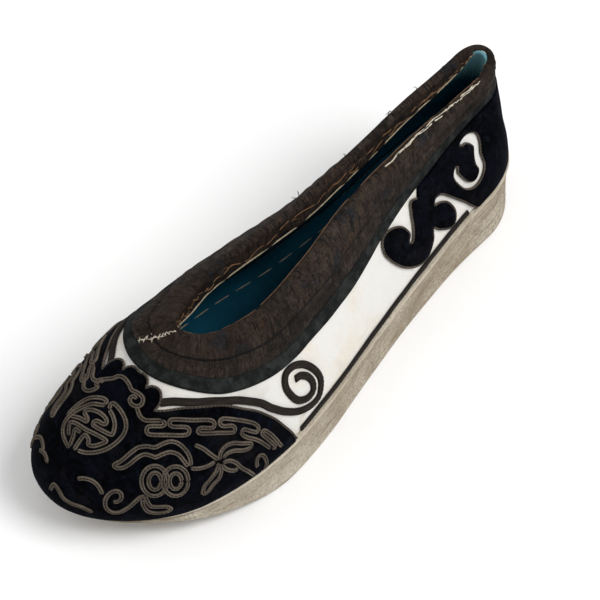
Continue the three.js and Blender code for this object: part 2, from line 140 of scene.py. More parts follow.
# Colours of the single threads
THREAD_COLORS = {
    "tan_thread": (0.30, 0.25, 0.17),
    "rust_thread": (0.16, 0.085, 0.042),
    "brown_thread": (0.085, 0.048, 0.028),
    "pale_thread": (0.50, 0.45, 0.36),
    "dark_thread": (0.020, 0.016, 0.014),
}

# Tables of shares of the sizes above; the first column is the station the others hang on
FOOT = {
    "station": (0, 0.06, 0.15, 0.30, 0.45, 0.60, 0.70, 0.80, 0.90, 1),
    "half_width": (0.600, 0.588, 0.608, 0.675, 0.790, 0.940, 0.995, 0.963, 0.938, 0.950),
    "top": (1, 0.984, 0.871, 0.726, 0.703, 0.742, 0.710, 0.597, 0.484, 0.435),
    "under": (0.09, 0, 0, 0, 0, 0, 0, 0.36, 0.82, 1),
    "edge": (1.3, 1.15, 1, 1, 1, 1, 1, 0.8, 0.1, -0.5),
}
BOW = {
    "station": (0, 0.15, 0.30, 0.50, 0.70, 0.85, 1),
    "side": (0, 0, 0.24, 0.72, 1, 0.78, -0.33),
}
TOPLINE = {
    "run": (0, 0.10, 0.22, 0.36, 0.50, 0.62, 0.74, 0.86, 1),
    "station": (0.020, 0.058, 0.150, 0.280, 0.405, 0.527, 0.640, 0.710, 0.765),
    "half_width": (0.55, 0.55, 0.55, 0.52, 0.56, 0.82, 1, 0.90, 0.90),
    "height": (1.087, 1.033, 1.007, 1, 0.987, 0.960, 0.967, 0.967, 1),
}
FAN = {
    "station": (0, 0.12, 0.30, 0.50, 0.66, 0.80, 0.92, 1),
    "run": (0, 0.12, 0.30, 0.50, 0.66, 0.79, 0.90, 1),
}
WALL_CURVE = {
    "station": (0, 0.15, 0.35, 0.50, 0.62, 0.75, 0.88, 1),
    "foot_out": (-0.025, 0.0075, 0.025, 0.0375, 0.05, 0.075, 0.125, 0.1875),
    "foot_up": (0.221, 0.224, 0.203, 0.187, 0.189, 0.196, 0.213, 0.223),
    "top_out": (0, 0.075, 0.075, 0.175, 0.275, 0.375, 0.625, 0.85),
    "top_down": (0.213, 0.187, 0.160, 0.140, 0.133, 0.133, 0.120, 0.133),
}
BANDS = {
    "station": (0, 0.135, 0.32, 0.47, 0.53, 0.62, 0.75, 0.90, 1),
    "depth": (0.36, 0.38, 0.67, 0.93, 1, 0.93, 0.88, 0.82, 0.70),
}
# Wall shares: round from the heel (0) over the toe (1) and back (2), rise from foot line to topline
TURN_IN = {                 # drop of the satin that is folded down inside the mouth, in millimetres
    "round": (0, 0.10, 0.18, 0.30, 0.45, 0.70, 0.88, 1),
    "drop": (0.6, 0.9, 2.2, 4.2, 5.8, 6.6, 4.0, 1.2),
}
CAP_EDGE = {
    "round": (0.613, 0.617, 0.633, 0.667, 0.713, 0.788, 0.868, 0.917, 0.928, 0.926, 0.930, 0.938, 0.949,
              0.960, 0.966, 0.969, 0.975, 0.983, 0.992, 1),
    "rise": (-0.05, 0.03, 0.166, 0.367, 0.524, 0.653, 0.681, 0.655, 0.648, 0.684, 0.716, 0.739, 0.748,
             0.744, 0.727, 0.750, 0.766, 0.773, 0.774, 0.770),
}
TENDRIL = {
    "round": (0.926, 0.908, 0.890, 0.856, 0.810, 0.749, 0.697, 0.667, 0.641, 0.615, 0.593, 0.579, 0.575,
              0.577, 0.591, 0.611, 0.631, 0.645, 0.645, 0.635, 0.619, 0.601, 0.591, 0.593, 0.603, 0.617,
              0.627),
    "rise": (0.690, 0.703, 0.707, 0.704, 0.690, 0.634, 0.530, 0.420, 0.312, 0.212, 0.150, 0.140, 0.185,
             0.265, 0.380, 0.494, 0.559, 0.557, 0.489, 0.401, 0.300, 0.239, 0.244, 0.306, 0.384, 0.448,
             0.465),
}
FOOT_BRAID_ENDS = (0.264, 0.607)
# Front edge of the heel counter from the side: shares of the counter's length and the instep height
COUNTER_EDGE = {
    "along": (0.371, 0.446, 0.509, 0.565, 0.614, 0.630, 0.595, 0.551, 0.523, 0.533, 0.570, 0.637, 0.676,
              0.690, 0.733, 0.785, 0.849, 0.925, 0.982, 1, 0.973, 0.914, 0.855, 0.823, 0.843, 0.818,
              0.790, 0.774, 0.753, 0.710),
    "height": (0.367, 0.481, 0.565, 0.635, 0.651, 0.621, 0.608, 0.573, 0.500, 0.432, 0.419, 0.471,
               0.515, 0.453, 0.396, 0.389, 0.424, 0.501, 0.597, 0.667, 0.725, 0.723, 0.683, 0.617,
               0.581, 0.561, 0.620, 0.693, 0.747, 0.733),
}
# Middle line of the opening round the counter's upper curl, and its width in millimetres
COUNTER_CURL = {
    "along": (0.391, 0.349, 0.312, 0.303, 0.315, 0.318, 0.312, 0.325, 0.355, 0.389, 0.426, 0.452, 0.462,
              0.446),
    "height": (0.799, 0.805, 0.780, 0.740, 0.693, 0.653, 0.613, 0.577, 0.551, 0.551, 0.580, 0.633,
               0.673, 0.707),
    "width": (1.2, 2.8, 4.4, 3.4, 3.4, 3.8, 3.2, 2.8, 2.5, 2.4, 2.5, 2.6, 2.4, 1.6),
}

# Viewpoint of the photograph: pixels of its 600 x 600 frame, millimetres and degrees
PHOTO_CENTRE = 300.0
PHOTO_ELEVATION = math.radians(53.15)
PHOTO_TURN = math.radians(49.65)        # the toe points this far below the picture's left
PHOTO_DISTANCE = 1125.0
PHOTO_SCALE = 1.792                     # pixels a millimetre at the aimed point
PHOTO_HEEL = (34.1, 107.1)              # heel to the right of and behind the aimed point
PHOTO_TOE = (-math.cos(PHOTO_TURN), -math.sin(PHOTO_TURN))
PHOTO_LEFT = (math.sin(PHOTO_TURN), -math.cos(PHOTO_TURN))
AIM = (0.0, 0.0, 34.0)                  # middle of the shoe, millimetres in the frame
CLOSE_UP = 1.36                         # how much closer the one shoe is framed than in the photograph

# Area lights: place in metres, size in metres and watts
LIGHTS = {
    "key": ((-0.30, 0.70, 1.1), 0.7, 13.0),
    "fill": ((0.8, -0.8, 1.0), 1.0, 4.0),
}
WORLD_STRENGTH = 0.56
FLOOR_HALF = 2500.0


# Curves and the last's wall

def through(stations, values):
    """Monotone cubic through one column of a table: each span's tangents are the weighted harmonic mean
    of its neighbours' slopes, or zero where the slope changes sign."""
    xs = np.asarray(stations, float)
    ys = np.asarray(values, float)
    step = np.diff(xs)
    slope = np.diff(ys) / step
    before, after = slope[:-1], slope[1:]
    same = before * after > 0
    w1 = 2 * step[1:] + step[:-1]
    w2 = step[1:] + 2 * step[:-1]
    mean = (w1 + w2) / (w1 / np.where(same, before, 1) + w2 / np.where(same, after, 1))
    tangent = np.concatenate([slope[:1], np.where(same, mean, 0), slope[-1:]])

    def curve(x):
        x = np.clip(x, xs[0], xs[-1])
        i = np.clip(np.searchsorted(xs, x) - 1, 0, len(step) - 1)
        t = (x - xs[i]) / step[i]
        return ((2 * t**3 - 3 * t**2 + 1) * ys[i] + (t**3 - 2 * t**2 + t) * step[i] * tangent[i]
                + (3 * t**2 - 2 * t**3) * ys[i + 1] + (t**3 - t**2) * step[i] * tangent[i + 1])
    return curve


def scaled(table, column, size, reach=LENGTH):
    """One column of a table over its first column, in millimetres."""
    stations = np.asarray(next(iter(table.values())), float) * reach
    return through(stations, np.asarray(table[column], float) * size)


foot_half = scaled(FOOT, "half_width", BALL_WIDTH / 2)
sole_top = scaled(FOOT, "top", HEEL_STACK)
sole_under = scaled(FOOT, "under", TOE_SPRING)
sole_edge = scaled(FOOT, "edge", SOLE_EDGE)
bow = scaled(BOW, "side", SIDE_BOW)
topline_station = scaled(TOPLINE, "station", LENGTH, 1)
topline_height = scaled(TOPLINE, "height", INSTEP_HEIGHT, 1)
topline_half = through(np.array(TOPLINE["station"]) * LENGTH,
                       np.array(TOPLINE["half_width"]) * COLLAR_WIDTH / 2)
fan_run = scaled(FAN, "run", 1)
foot_out = scaled(WALL_CURVE, "foot_out", BALL_WIDTH / 2)
foot_up = scaled(WALL_CURVE, "foot_up", INSTEP_HEIGHT)
top_out = scaled(WALL_CURVE, "top_out", BALL_WIDTH / 2)
top_down = scaled(WALL_CURVE, "top_down", INSTEP_HEIGHT)
band_depth = scaled(BANDS, "depth", BAND_DEPTH)
turn_in = through(TURN_IN["round"], TURN_IN["drop"])


def frame_shift():
    """The last's own origin in the frame: the heel end of the sole stack is on its centre line."""
    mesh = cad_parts["sole_stack"].data
    co = np.empty(len(mesh.vertices) * 3)
    mesh.vertices.foreach_get("co", co)
    co = co.reshape(-1, 3) / MM
    heel = co[co[:, 0] < co[:, 0].min() + 0.01]
    overhang = SOLE_EDGE * FOOT["edge"][0] - TOP_LAYER_LIP + SOLE_FLARE
    return np.array([heel[:, 0].mean() + overhang, heel[:, 1].mean(), 0.0])


SHIFT = frame_shift()


def side_of(around):
    """Share from heel to toe on either side, and +1 on the wearer's left or -1 on the right."""
    lap = np.mod(around, 2)
    return 1 - np.abs(1 - lap), np.where(lap <= 1, 1.0, -1.0)


def foot_station(around):
    """Distance from the heel end along the last: half a cosine wave from the heel to the toe."""
    return LENGTH * (1 - np.cos(np.pi * side_of(around)[0])) / 2


def foot_plan(around):
    """Foot line in plan: half width times a quarter circle at the heel and a superellipse at the toe."""
    x = foot_station(around)
    heel = np.clip(1 - x / HEEL_RADIUS, 0, 1)
    toe = np.clip(1 - (LENGTH - x) / TOE_REACH, 0, 1)
    rounding = np.sqrt(1 - heel**2) * (1 - toe**TOE_FULLNESS) ** (1 / TOE_FULLNESS)
    return np.stack([x, side_of(around)[1] * foot_half(x) * rounding], -1)


def plan_outward(around):
    """Outward direction in plan: the foot line's travel turned by a right angle."""
    along = foot_plan(around + 0.002) - foot_plan(around - 0.002)
    out = np.stack([-along[..., 1], along[..., 0], 0 * along[..., 0]], -1)
    return out / np.linalg.norm(out, axis=-1, keepdims=True)


def wall_handles(around):
    """The four points of the wall's cubic curve: foot, two handles, topline."""
    plan = foot_plan(around)
    x = plan[..., 0]
    out = plan_outward(around)
    run = fan_run(x)
    top_x = topline_station(run)
    heel = np.minimum((top_x - topline_station(0)) / TOPLINE_HEEL_REACH, 1)
    throat = np.minimum((topline_station(1) - top_x) / TOPLINE_THROAT_REACH, 1)
    rounding = np.sqrt(1 - (1 - heel) ** 2) * np.sqrt(1 - (1 - throat) ** 2)
    foot = np.stack([x, plan[..., 1], sole_top(x)], -1)
    top = np.stack([top_x, side_of(around)[1] * topline_half(top_x) * rounding, topline_height(run)], -1)
    low = foot + out * foot_out(x)[..., None] + UP * foot_up(x)[..., None]
    high = top + out * top_out(x)[..., None] - UP * top_down(x)[..., None]
    return foot + UP * CLEARANCE, low, high, top


def cubic(handles, t):
    """Bezier curve of four handles at t."""
    a, b, c, d = handles
    t = t[..., None]
    return (1 - t) ** 3 * a + 3 * (1 - t) ** 2 * t * b + 3 * (1 - t) * t**2 * c + t**3 * d


# Parameter of the wall's curve at even shares of its length, over a lookup grid
LOOK_COLUMNS, LOOK_ROWS = 320, 96


def length_lookup():
    """For columns round the shoe, the curve's parameter at even shares of its length, and that length."""
    around = np.linspace(0, 1, LOOK_COLUMNS + 1)
    t = np.linspace(0, 1, LOOK_ROWS + 1)
    handles = [h[:, None, :] for h in wall_handles(around)]
    points = cubic(handles, np.broadcast_to(t, (len(around), len(t))))
    run = np.cumsum(np.linalg.norm(np.diff(points, axis=1), axis=-1), axis=1)
    run = np.concatenate([np.zeros((len(around), 1)), run], 1)
    return np.array([np.interp(t, r / r[-1], t) for r in run]), run[:, -1]


LOOK_TABLE, LOOK_TOTAL = length_lookup()


def wall_length(around):
    """Length of the wall from the foot line up to the topline."""
    return np.interp(side_of(around)[0], np.linspace(0, 1, LOOK_COLUMNS + 1), LOOK_TOTAL)


def rise_at(around, drop):
    """Rise of the place that lies a drop below the topline, measured down the wall."""
    return 1 - drop / wall_length(around)


def below_band(around, gap):
    """Rise of a line that lies a gap below the collar band."""
    return rise_at(around, band_depth(foot_station(around)) + gap)


def curve_parameter(near, rise):
    """Bilinear reading of the lookup grid."""
    a = np.clip(near, 0, 1) * LOOK_COLUMNS
    b = np.clip(rise, 0, 1) * LOOK_ROWS
    i = np.minimum(a.astype(int), LOOK_COLUMNS - 1)
    j = np.minimum(b.astype(int), LOOK_ROWS - 1)
    a, b = a - i, b - j
    table = LOOK_TABLE
    return ((1 - a) * ((1 - b) * table[i, j] + b * table[i, j + 1])
            + a * ((1 - b) * table[i + 1, j] + b * table[i + 1, j + 1]))


# Soft creases of the worn wall: where each starts and ends, how deep it is and how wide, in millimetres
CREASES = {
    "round0": (0.47, 0.52, 0.565, 0.66, 0.40, 0.345, 0.70, 1.00, 0.08, 0.60, 1.44, 1.36, 0.30, 1.60,
               0.53),
    "rise0": (0.10, 0.12, 0.30, 0.10, 0.08, 0.10, 0.62, 0.60, 0.30, 0.62, 0.10, 0.40, 0.45, 0.20, 0.55),
    "round1": (0.455, 0.545, 0.53, 0.70, 0.42, 0.33, 0.76, 0.95, 0.14, 0.53, 1.46, 1.30, 0.36, 1.56,
               0.46),
    "rise1": (0.55, 0.45, 0.62, 0.45, 0.50, 0.42, 0.40, 0.72, 0.62, 0.66, 0.55, 0.60, 0.55, 0.60, 0.50),
    "depth": (-0.55, 0.40, -0.50, -0.60, 0.45, -0.40, -0.35, -0.50, -0.45, -0.55, -0.60, -0.45, -0.30,
              0.45, 0.35),
    "width": (5.0, 6.0, 5.5, 7.0, 6.0, 5.0, 8.0, 7.0, 6.0, 4.5, 6.0, 7.0, 6.0, 6.0, 5.0),
}


def crease_lift(around, rise):
    """Sum of Gaussian troughs and ridges; each falls off with the distance from its own segment."""
    size = np.array([ROUND_LENGTH, RISE_LENGTH])
    here = np.stack([np.mod(around, 2), rise], -1) * size
    total = np.zeros(np.shape(around))
    for r0, h0, r1, h1, depth, width in zip(*CREASES.values()):
        start = np.array([r0, h0]) * size
        run = np.array([r1, h1]) * size - start
        share = np.clip(((here - start) @ run) / (run @ run), 0, 1)
        away = np.linalg.norm(here - start - share[..., None] * run, axis=-1)
        total += depth * np.exp(-((away / width) ** 2))
    return total


def wall(around, rise, lift=0.0, creased=True):
    """Points and outward normals of the wall, straight last: the cubic curve at an even share of its length,
    carried on in a straight line past either end, lifted along the normal. Creases fade in from the foot."""
    around, rise, lift = np.broadcast_arrays(np.asarray(around, float), rise, lift)
    t = curve_parameter(side_of(around)[0], rise)
    handles = wall_handles(around)
    point = cubic(handles, t)
    a, b, c, d = handles
    s = t[..., None]
    up = (1 - s) ** 2 * (b - a) + 2 * (1 - s) * s * (c - b) + s**2 * (d - c)
    up = up / np.linalg.norm(up, axis=-1, keepdims=True)
    along = cubic(wall_handles(around + WALL_STEP), t) - cubic(wall_handles(around - WALL_STEP), t)
    normal = np.cross(up, along)
    normal = normal / np.linalg.norm(normal, axis=-1, keepdims=True)
    past = np.where(rise > 1, rise - 1, np.minimum(rise, 0)) * wall_length(around)
    if creased:
        lift = lift + crease_lift(around, rise) * np.clip(rise * CREASE_FADE, 0, 1)
    return point + up * past[..., None] + normal * lift[..., None], normal


def bent(points):
    """Bends the straight last sideways and moves it to the frame."""
    out = points.copy()
    out[..., 1] += bow(points[..., 0])
    return out + SHIFT


def photo_pixel(points):
    """Where bent points appear in the photograph: distance along the view, then one perspective division."""
    along, left, up = np.moveaxis(points - SHIFT, -1, 0)
    right = PHOTO_HEEL[0] + along * PHOTO_TOE[0] + left * PHOTO_LEFT[0]
    away = PHOTO_HEEL[1] + along * PHOTO_TOE[1] + left * PHOTO_LEFT[1]
    c, s = math.cos(PHOTO_ELEVATION), math.sin(PHOTO_ELEVATION)
    depth = PHOTO_DISTANCE + away * c - up * s
    focal = PHOTO_SCALE * PHOTO_DISTANCE
    rise = away * s + up * c
    return np.stack([PHOTO_CENTRE + focal * right / depth, PHOTO_CENTRE - focal * rise / depth], -1)


def solve_on_wall(view, targets, rounds, rises, steps=6):
    """Wall shares whose point the given view shows at each target: the nearest of a grid of shares, given
    by its first, last and count each way, and then Newton steps."""
    grid = np.meshgrid(np.linspace(*rounds), np.linspace(*rises), indexing="ij")
    seed = np.stack(grid, -1).reshape(-1, 2)
    shares = seed[np.argmin(((targets[:, None, :] - view(seed)[None]) ** 2).sum(-1), 1)]
    small = 1e-3
    for _ in range(steps):
        here = view(shares)
        miss = targets - here
        by_round = (view(shares + [small, 0]) - here) / small
        by_rise = (view(shares + [0, small]) - here) / small
        det = by_round[:, 0] * by_rise[:, 1] - by_round[:, 1] * by_rise[:, 0]
        det = np.where(np.abs(det) < 1e-6, 1e-6, det)
        step = np.stack([miss[:, 0] * by_rise[:, 1] - miss[:, 1] * by_rise[:, 0],
                         by_round[:, 0] * miss[:, 1] - by_round[:, 1] * miss[:, 0]], -1) / det[:, None]
        shares = shares + np.clip(step, -0.05, 0.05)
    return shares


def shares_from_photo(pixels, lift):
    """Wall shares under pixels of the photograph, on the side that faces the camera."""
    def view(shares):
        return photo_pixel(bent(wall(shares[:, 0], shares[:, 1], lift, creased=False)[0]))
    return solve_on_wall(view, pixels, *PHOTO_SEARCH)


def shares_from_side(points):
    """Wall shares of points (along, height) seen square from the side, on the wearer's left."""
    def view(shares):
        return wall(shares[:, 0], shares[:, 1], 0.0, creased=False)[0][:, [0, 2]]
    return solve_on_wall(view, points, *SIDE_SEARCH)


def smooth_path(points, each):
    """Catmull-Rom curve through points, worked out as one array."""
    p = np.asarray(points, float)
    p = np.concatenate([2 * p[:1] - p[1:2], p, 2 * p[-1:] - p[-2:-1]])
    t = (np.arange(each) / each)[None, :, None]
    a, b, c, d = (p[k:len(p) - 3 + k, None, :] for k in range(4))
    curve = 0.5 * (2 * b + (c - a) * t + (2 * a - 5 * b + 4 * c - d) * t**2 + (3 * b - a - 3 * c + d) * t**3)
    return np.concatenate([curve.reshape(-1, p.shape[1]), p[-2:-1]])


def run_along(points):
    """Distance of each point from the first, along the line that they follow."""
    return np.append(0, np.cumsum(np.linalg.norm(np.diff(points, axis=0), axis=1)))


def mirrored(shares):
    """The same wall shares on the other side of the toe."""
    return np.stack([2 - shares[:, 0], shares[:, 1]], -1)


def other_side(shares):
    """The same wall shares on the other side of the heel."""
    return np.stack([-shares[:, 0], shares[:, 1]], -1)


# Meshes from arrays

def make_object(name, points, faces, corner_uv=None):
    """Object whose mesh has these points, in millimetres, and faces; UVs are in millimetres too."""
    mesh = bpy.data.meshes.new(name)
    mesh.vertices.add(len(points))
    mesh.vertices.foreach_set("co", (points * MM).astype(np.float32).ravel())
    mesh.loops.add(faces.size)
    mesh.loops.foreach_set("vertex_index", faces.astype(np.int32).ravel())
    mesh.polygons.add(len(faces))
    mesh.polygons.foreach_set("loop_start", np.arange(0, faces.size, faces.shape[1], dtype=np.int32))
    mesh.update(calc_edges=True)
    if corner_uv is not None:
        layer = mesh.uv_layers.new(name="UVMap")
        layer.data.foreach_set("uv", corner_uv.astype(np.float32).ravel())
    mesh.polygons.foreach_set("use_smooth", np.ones(len(faces), bool))
    obj = bpy.data.objects.new(name, mesh)
    bpy.context.scene.collection.objects.link(obj)
    return obj


def set_zone(obj, values):
    """Share across a strip at each corner of the mesh, for its material."""
    layer = obj.data.attributes.new("zone", "FLOAT", "POINT")
    layer.data.foreach_set("value", np.ascontiguousarray(values, np.float32).ravel())


def weld(obj):
    """Joins corners that lie on each other, so seams and poles are closed."""
    work = bmesh.new()
    work.from_mesh(obj.data)
    bmesh.ops.remove_doubles(work, verts=work.verts, dist=1e-6)
    bmesh.ops.dissolve_degenerate(work, edges=work.edges, dist=1e-7)
    work.to_mesh(obj.data)
    work.free()


def settle(obj, material, slot, *nodes):
    """Finishes a piece: its material, its body and the nodes that it stands for. The slot is not used."""
    obj.data.materials.append(material)
    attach(obj, "root")
    if nodes:
        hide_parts(*nodes)


def grid_quads(columns, rows, ring):
    """Corner indices of the cells of a grid, and the same ones unwrapped for the UVs."""
    i = np.arange(columns if ring else columns - 1)[:, None]
    j = np.arange(rows - 1)[None, :]
    a = i * rows + j
    cells = np.stack([a, a + rows, a + rows + 1, a + 1], -1).reshape(-1, 4)
    return cells % (columns * rows), cells


def shell(name, outer, inner, uv):
    """Closed ring between two grids of points, columns of rows that run downwards.
    The UV table has one more column than the grids."""
    columns, rows = outer.shape[:2]
    count = columns * rows
    down = rows - 1
    cells, flat = grid_quads(columns, rows, True)
    top = np.arange(columns) * rows
    after = np.roll(top, -1)
    faces = [cells, cells[:, ::-1] + count, np.stack([top + count, after + count, after, top], -1),
             np.stack([top, after, after + count, top + count], -1) + down]
    rim = np.stack([top, top + rows, top + rows, top], -1)
    corners = np.concatenate([flat, flat[:, ::-1], rim, rim + down])
    points = np.concatenate([outer.reshape(-1, 3), inner.reshape(-1, 3)])
    return make_object(name, points, np.concatenate(faces), uv.reshape(-1, 2)[corners])


def sweep(points, normal, profile):
    """Closed band: a profile (across, up), turning from across to up, carried along points on the wall.
    Across is the normal times the travel. Returns points, faces and corner UVs."""
    across = np.cross(normal, np.gradient(points, axis=0))
    across = across / np.linalg.norm(across, axis=1, keepdims=True)
    profile = np.broadcast_to(profile, (len(points),) + np.shape(profile)[-2:])
    n, m = profile.shape[:2]
    body = points[:, None] + across[:, None] * profile[..., :1] + normal[:, None] * profile[..., 1:]
    i = np.arange(n - 1)[:, None] * m
    k = np.arange(m)[None, :]
    k2 = (k + 1) % m
    side = np.stack([i + k, i + k2, i + m + k2, i + m + k], -1).reshape(-1, 4)
    c = np.arange(m // 2 - 1)
    start = np.stack([c, m - c - 1, m - c - 2, c + 1], -1)
    end = np.stack([c, c + 1, m - c - 2, m - c - 1], -1) + (n - 1) * m
    faces = np.concatenate([side, start, end])
    uv = np.stack([run_along(points)[faces // m], profile[..., 0].reshape(-1)[faces]], -1)
    return body.reshape(-1, 3), faces, uv


def joined(name, parts):
    """One object from several (points, faces, corner UVs)."""
    points, faces, uv = zip(*parts)
    first = np.cumsum([0] + [len(p) for p in points[:-1]])
    faces = np.concatenate([f + start for f, start in zip(faces, first)])
    return make_object(name, np.concatenate(points), faces, np.concatenate(uv))


def circle(radius, sides):
    """Round profile, turning from across to up."""
    angle = np.arange(sides) * 2 * np.pi / sides
    return radius * np.stack([np.cos(angle), np.sin(angle)], -1)


def on_wall_line(shares, lift):
    """Bent points and normals along wall shares."""
    point, normal = wall(shares[:, 0], shares[:, 1], lift)
    return bent(point), normal


def even_on_wall(shares, spacing):
    """Wall shares at even steps along the line that they follow."""
    run = run_along(wall(shares[:, 0], shares[:, 1], 0.0, creased=False)[0])
    at = np.linspace(0, run[-1], max(int(round(run[-1] / spacing)), 2) + 1)
    return np.stack([np.interp(at, run, column) for column in shares.T], -1)


# Node trees

def add_node(tree, kind, inputs=None, **settings):
    """Adds a node, sets its properties, and sets or links its inputs by name or number."""
    node = tree.nodes.new(kind)
    for key, value in settings.items():
        setattr(node, key, value)
    for key, value in (inputs or {}).items():
        set_input(tree, node.inputs[key], value)
    return node


def set_input(tree, socket, value):
    """Links a socket to an input, or sets the input to a number, vector or colour."""
    if isinstance(value, bpy.types.NodeSocket):
        tree.links.new(value, socket)
    else:
        socket.default_value = value


def math_node(tree, operation, a, b=0.0):
    return add_node(tree, "ShaderNodeMath", {0: a, 1: b}, operation=operation).outputs[0]


def times(tree, a, b):
    return math_node(tree, "MULTIPLY", a, b)


def plus(tree, a, b):
    return math_node(tree, "ADD", a, b)


def less(tree, a, b):
    return math_node(tree, "SUBTRACT", a, b)


def size_of(tree, a):
    """A value without its sign."""
    return math_node(tree, "ABSOLUTE", a)


def wave(tree, along, length):
    """Sine of a distance, with the given wave length."""
    return math_node(tree, "SINE", times(tree, along, 2 * math.pi / length))


def parted(tree, vector):
    """The three parts of a vector."""
    return add_node(tree, "ShaderNodeSeparateXYZ", {0: vector}).outputs


def smooth_range(tree, value, low, high, to_low=0.0, to_high=1.0):
    """Eases a value from one range to another, and holds it past either end."""
    ends = {"Value": value, "From Min": low, "From Max": high, "To Min": to_low, "To Max": to_high}
    return add_node(tree, "ShaderNodeMapRange", ends, interpolation_type="SMOOTHSTEP").outputs["Result"]


def mix_colors(tree, share, a, b):
    node = add_node(tree, "ShaderNodeMix", data_type="RGBA")
    sockets = {socket.identifier: socket for socket in node.inputs}
    for key, value in (("Factor_Float", share), ("A_Color", a), ("B_Color", b)):
        set_input(tree, sockets[key], value)
    return [socket for socket in node.outputs if socket.type == "RGBA"][0]


def noise(tree, vector, scale, detail=4.0, roughness=0.55, distortion=0.0):
    inputs = {"Vector": vector, "Scale": scale, "Detail": detail, "Roughness": roughness,
              "Distortion": distortion}
    return add_node(tree, "ShaderNodeTexNoise", inputs).outputs["Fac"]


def streaks(tree, uv, along, across, *texture):
    """Noise with this many cells a millimetre along and across the cloth, and its other numbers."""
    cells = add_node(tree, "ShaderNodeMapping", {"Vector": uv, "Scale": (along, across, 1.0)})
    return noise(tree, cells.outputs["Vector"], 1.0, *texture)


def shared_group(name, output, wiring, **inputs):
    """Node group made once and then shared: a vector and named numbers with their defaults go in, and
    what the wiring makes of them comes out."""
    if name in bpy.data.node_groups:
        return bpy.data.node_groups[name]
    tree = bpy.data.node_groups.new(name, "ShaderNodeTree")
    tree.interface.new_socket(name="Vector", in_out="INPUT", socket_type="NodeSocketVector")
    for key, value in inputs.items():
        socket = tree.interface.new_socket(name=key, in_out="INPUT", socket_type="NodeSocketFloat")
        socket.default_value = value
    tree.interface.new_socket(name=output, in_out="OUTPUT", socket_type="NodeSocketFloat")
    enter = tree.nodes.new("NodeGroupInput")
    leave = tree.nodes.new("NodeGroupOutput")
    sockets = [enter.outputs[key] for key in ("Vector", *inputs)]
    tree.links.new(wiring(tree, *sockets), leave.inputs[output])
    return tree


def weave_wiring(tree, vector, pitch):
    """Plain weave from a vector in millimetres: warp and weft ridges that pass over each other in turn."""
    turn = math_node(tree, "DIVIDE", math.pi, pitch)
    warp, weft = (math_node(tree, "SINE", times(tree, part, turn)) for part in parted(tree, vector)[:2])
    over = math_node(tree, "GREATER_THAN", times(tree, warp, weft), 0.0)
    under = less(tree, 1.0, over)
    return plus(tree, times(tree, size_of(tree, warp), over), times(tree, size_of(tree, weft), under))


def plain_weave(tree, uv, pitch):
    group = shared_group("Plain weave", "Height", weave_wiring, Pitch=0.5)
    return add_node(tree, "ShaderNodeGroup", {"Vector": uv, "Pitch": pitch}, node_tree=group).outputs[0]


def blotch_wiring(tree, vector, scale, threshold, softness):
    """Blotches: two sizes of noise, the share above a threshold eased in."""
    large = noise(tree, vector, scale, 5.0, 0.6, 0.4)
    fine = noise(tree, vector, times(tree, scale, 5.0), 3.0, 0.6)
    both = plus(tree, times(tree, large, 0.78), times(tree, fine, 0.22))
    return smooth_range(tree, both, less(tree, threshold, softness), plus(tree, threshold, softness))


def blotches(tree, place, scale, threshold, softness):
    group = shared_group("Blotches", "Mask", blotch_wiring, Scale=40.0, Threshold=0.5, Softness=0.1)
    inputs = {"Vector": place, "Scale": scale, "Threshold": threshold, "Softness": softness}
    return add_node(tree, "ShaderNodeGroup", inputs, node_tree=group).outputs[0]


def new_material(name, roughness=0.9, sheen=0.0, sheen_roughness=0.5, specular=0.5):
    """Material with its Principled shader; returns material, tree, shader, Object vector and UV vector."""
    material = bpy.data.materials.new(name)
    material.use_nodes = True
    tree = material.node_tree
    shader = tree.nodes["Principled BSDF"]
    shader.inputs["Roughness"].default_value = roughness
    shader.inputs["Sheen Weight"].default_value = sheen
    shader.inputs["Sheen Roughness"].default_value = sheen_roughness
    shader.inputs["Specular IOR Level"].default_value = specular
    where = tree.nodes.new("ShaderNodeTexCoord")
    return material, tree, shader, where.outputs["Object"], where.outputs["UV"]


def rgba(color, gain=1.0):
    """Colour with its alpha, made lighter or darker by a gain."""
    return tuple(min(c * gain, 1.0) for c in color[:3]) + (1.0,)


def mottled(tree, pattern, low, high, color, dark, light):
    """Runs from a dark to a light gain of a colour as the pattern goes from low to high."""
    return mix_colors(tree, smooth_range(tree, pattern, low, high), rgba(color, dark), rgba(color, light))


def finished(material, base, coats, bumps):
    """Lays the coats, each (share, colour), over the base in turn, and chains the bumps, each
    (height, strength, distance in metres), into the shader's normal."""
    tree = material.node_tree
    shader = tree.nodes["Principled BSDF"]
    for share, color in coats:
        base = mix_colors(tree, share, base, rgba(color))
    tree.links.new(base, shader.inputs["Base Color"])
    normal = {}
    for height, strength, distance in bumps:
        inputs = {"Height": height, "Strength": strength, "Distance": distance, **normal}
        normal = {"Normal": add_node(tree, "ShaderNodeBump", inputs).outputs["Normal"]}
    tree.links.new(normal["Normal"], shader.inputs["Normal"])
    return material


def cloth_material(looks):
    """Matt cotton: plain weave with painted shade between its threads, faint yellow stains, grey dirt
    towards the foot line.
    """
    material, tree, _, place, uv = new_material("cotton_cloth", 0.95, 0.0, 0.6, 0.1)
    weave = plain_weave(tree, uv, 0.55)
    stain = blotches(tree, place, 24.0, 0.55, 0.10)
    dirt = blotches(tree, place, 60.0, 0.62, 0.10)
    low = smooth_range(tree, parted(tree, uv)[1], 34.0, 60.0)
    soft = noise(tree, place, 70.0, 5.0, 0.6)
    base = mix_colors(tree, times(tree, stain, 0.45), rgba(looks.cloth), rgba(looks.cloth_stain))
    coats = ((times(tree, plus(tree, times(tree, low, 0.45), 0.22), dirt), (0.42, 0.36, 0.28)),
             # painted shade between the threads of the weave
             (times(tree, less(tree, 1.0, weave), 0.24), (0.50, 0.46, 0.40)))
    return finished(material, base, coats, ((soft, 0.6, 0.0012), (weave, 0.5, 0.00015)))


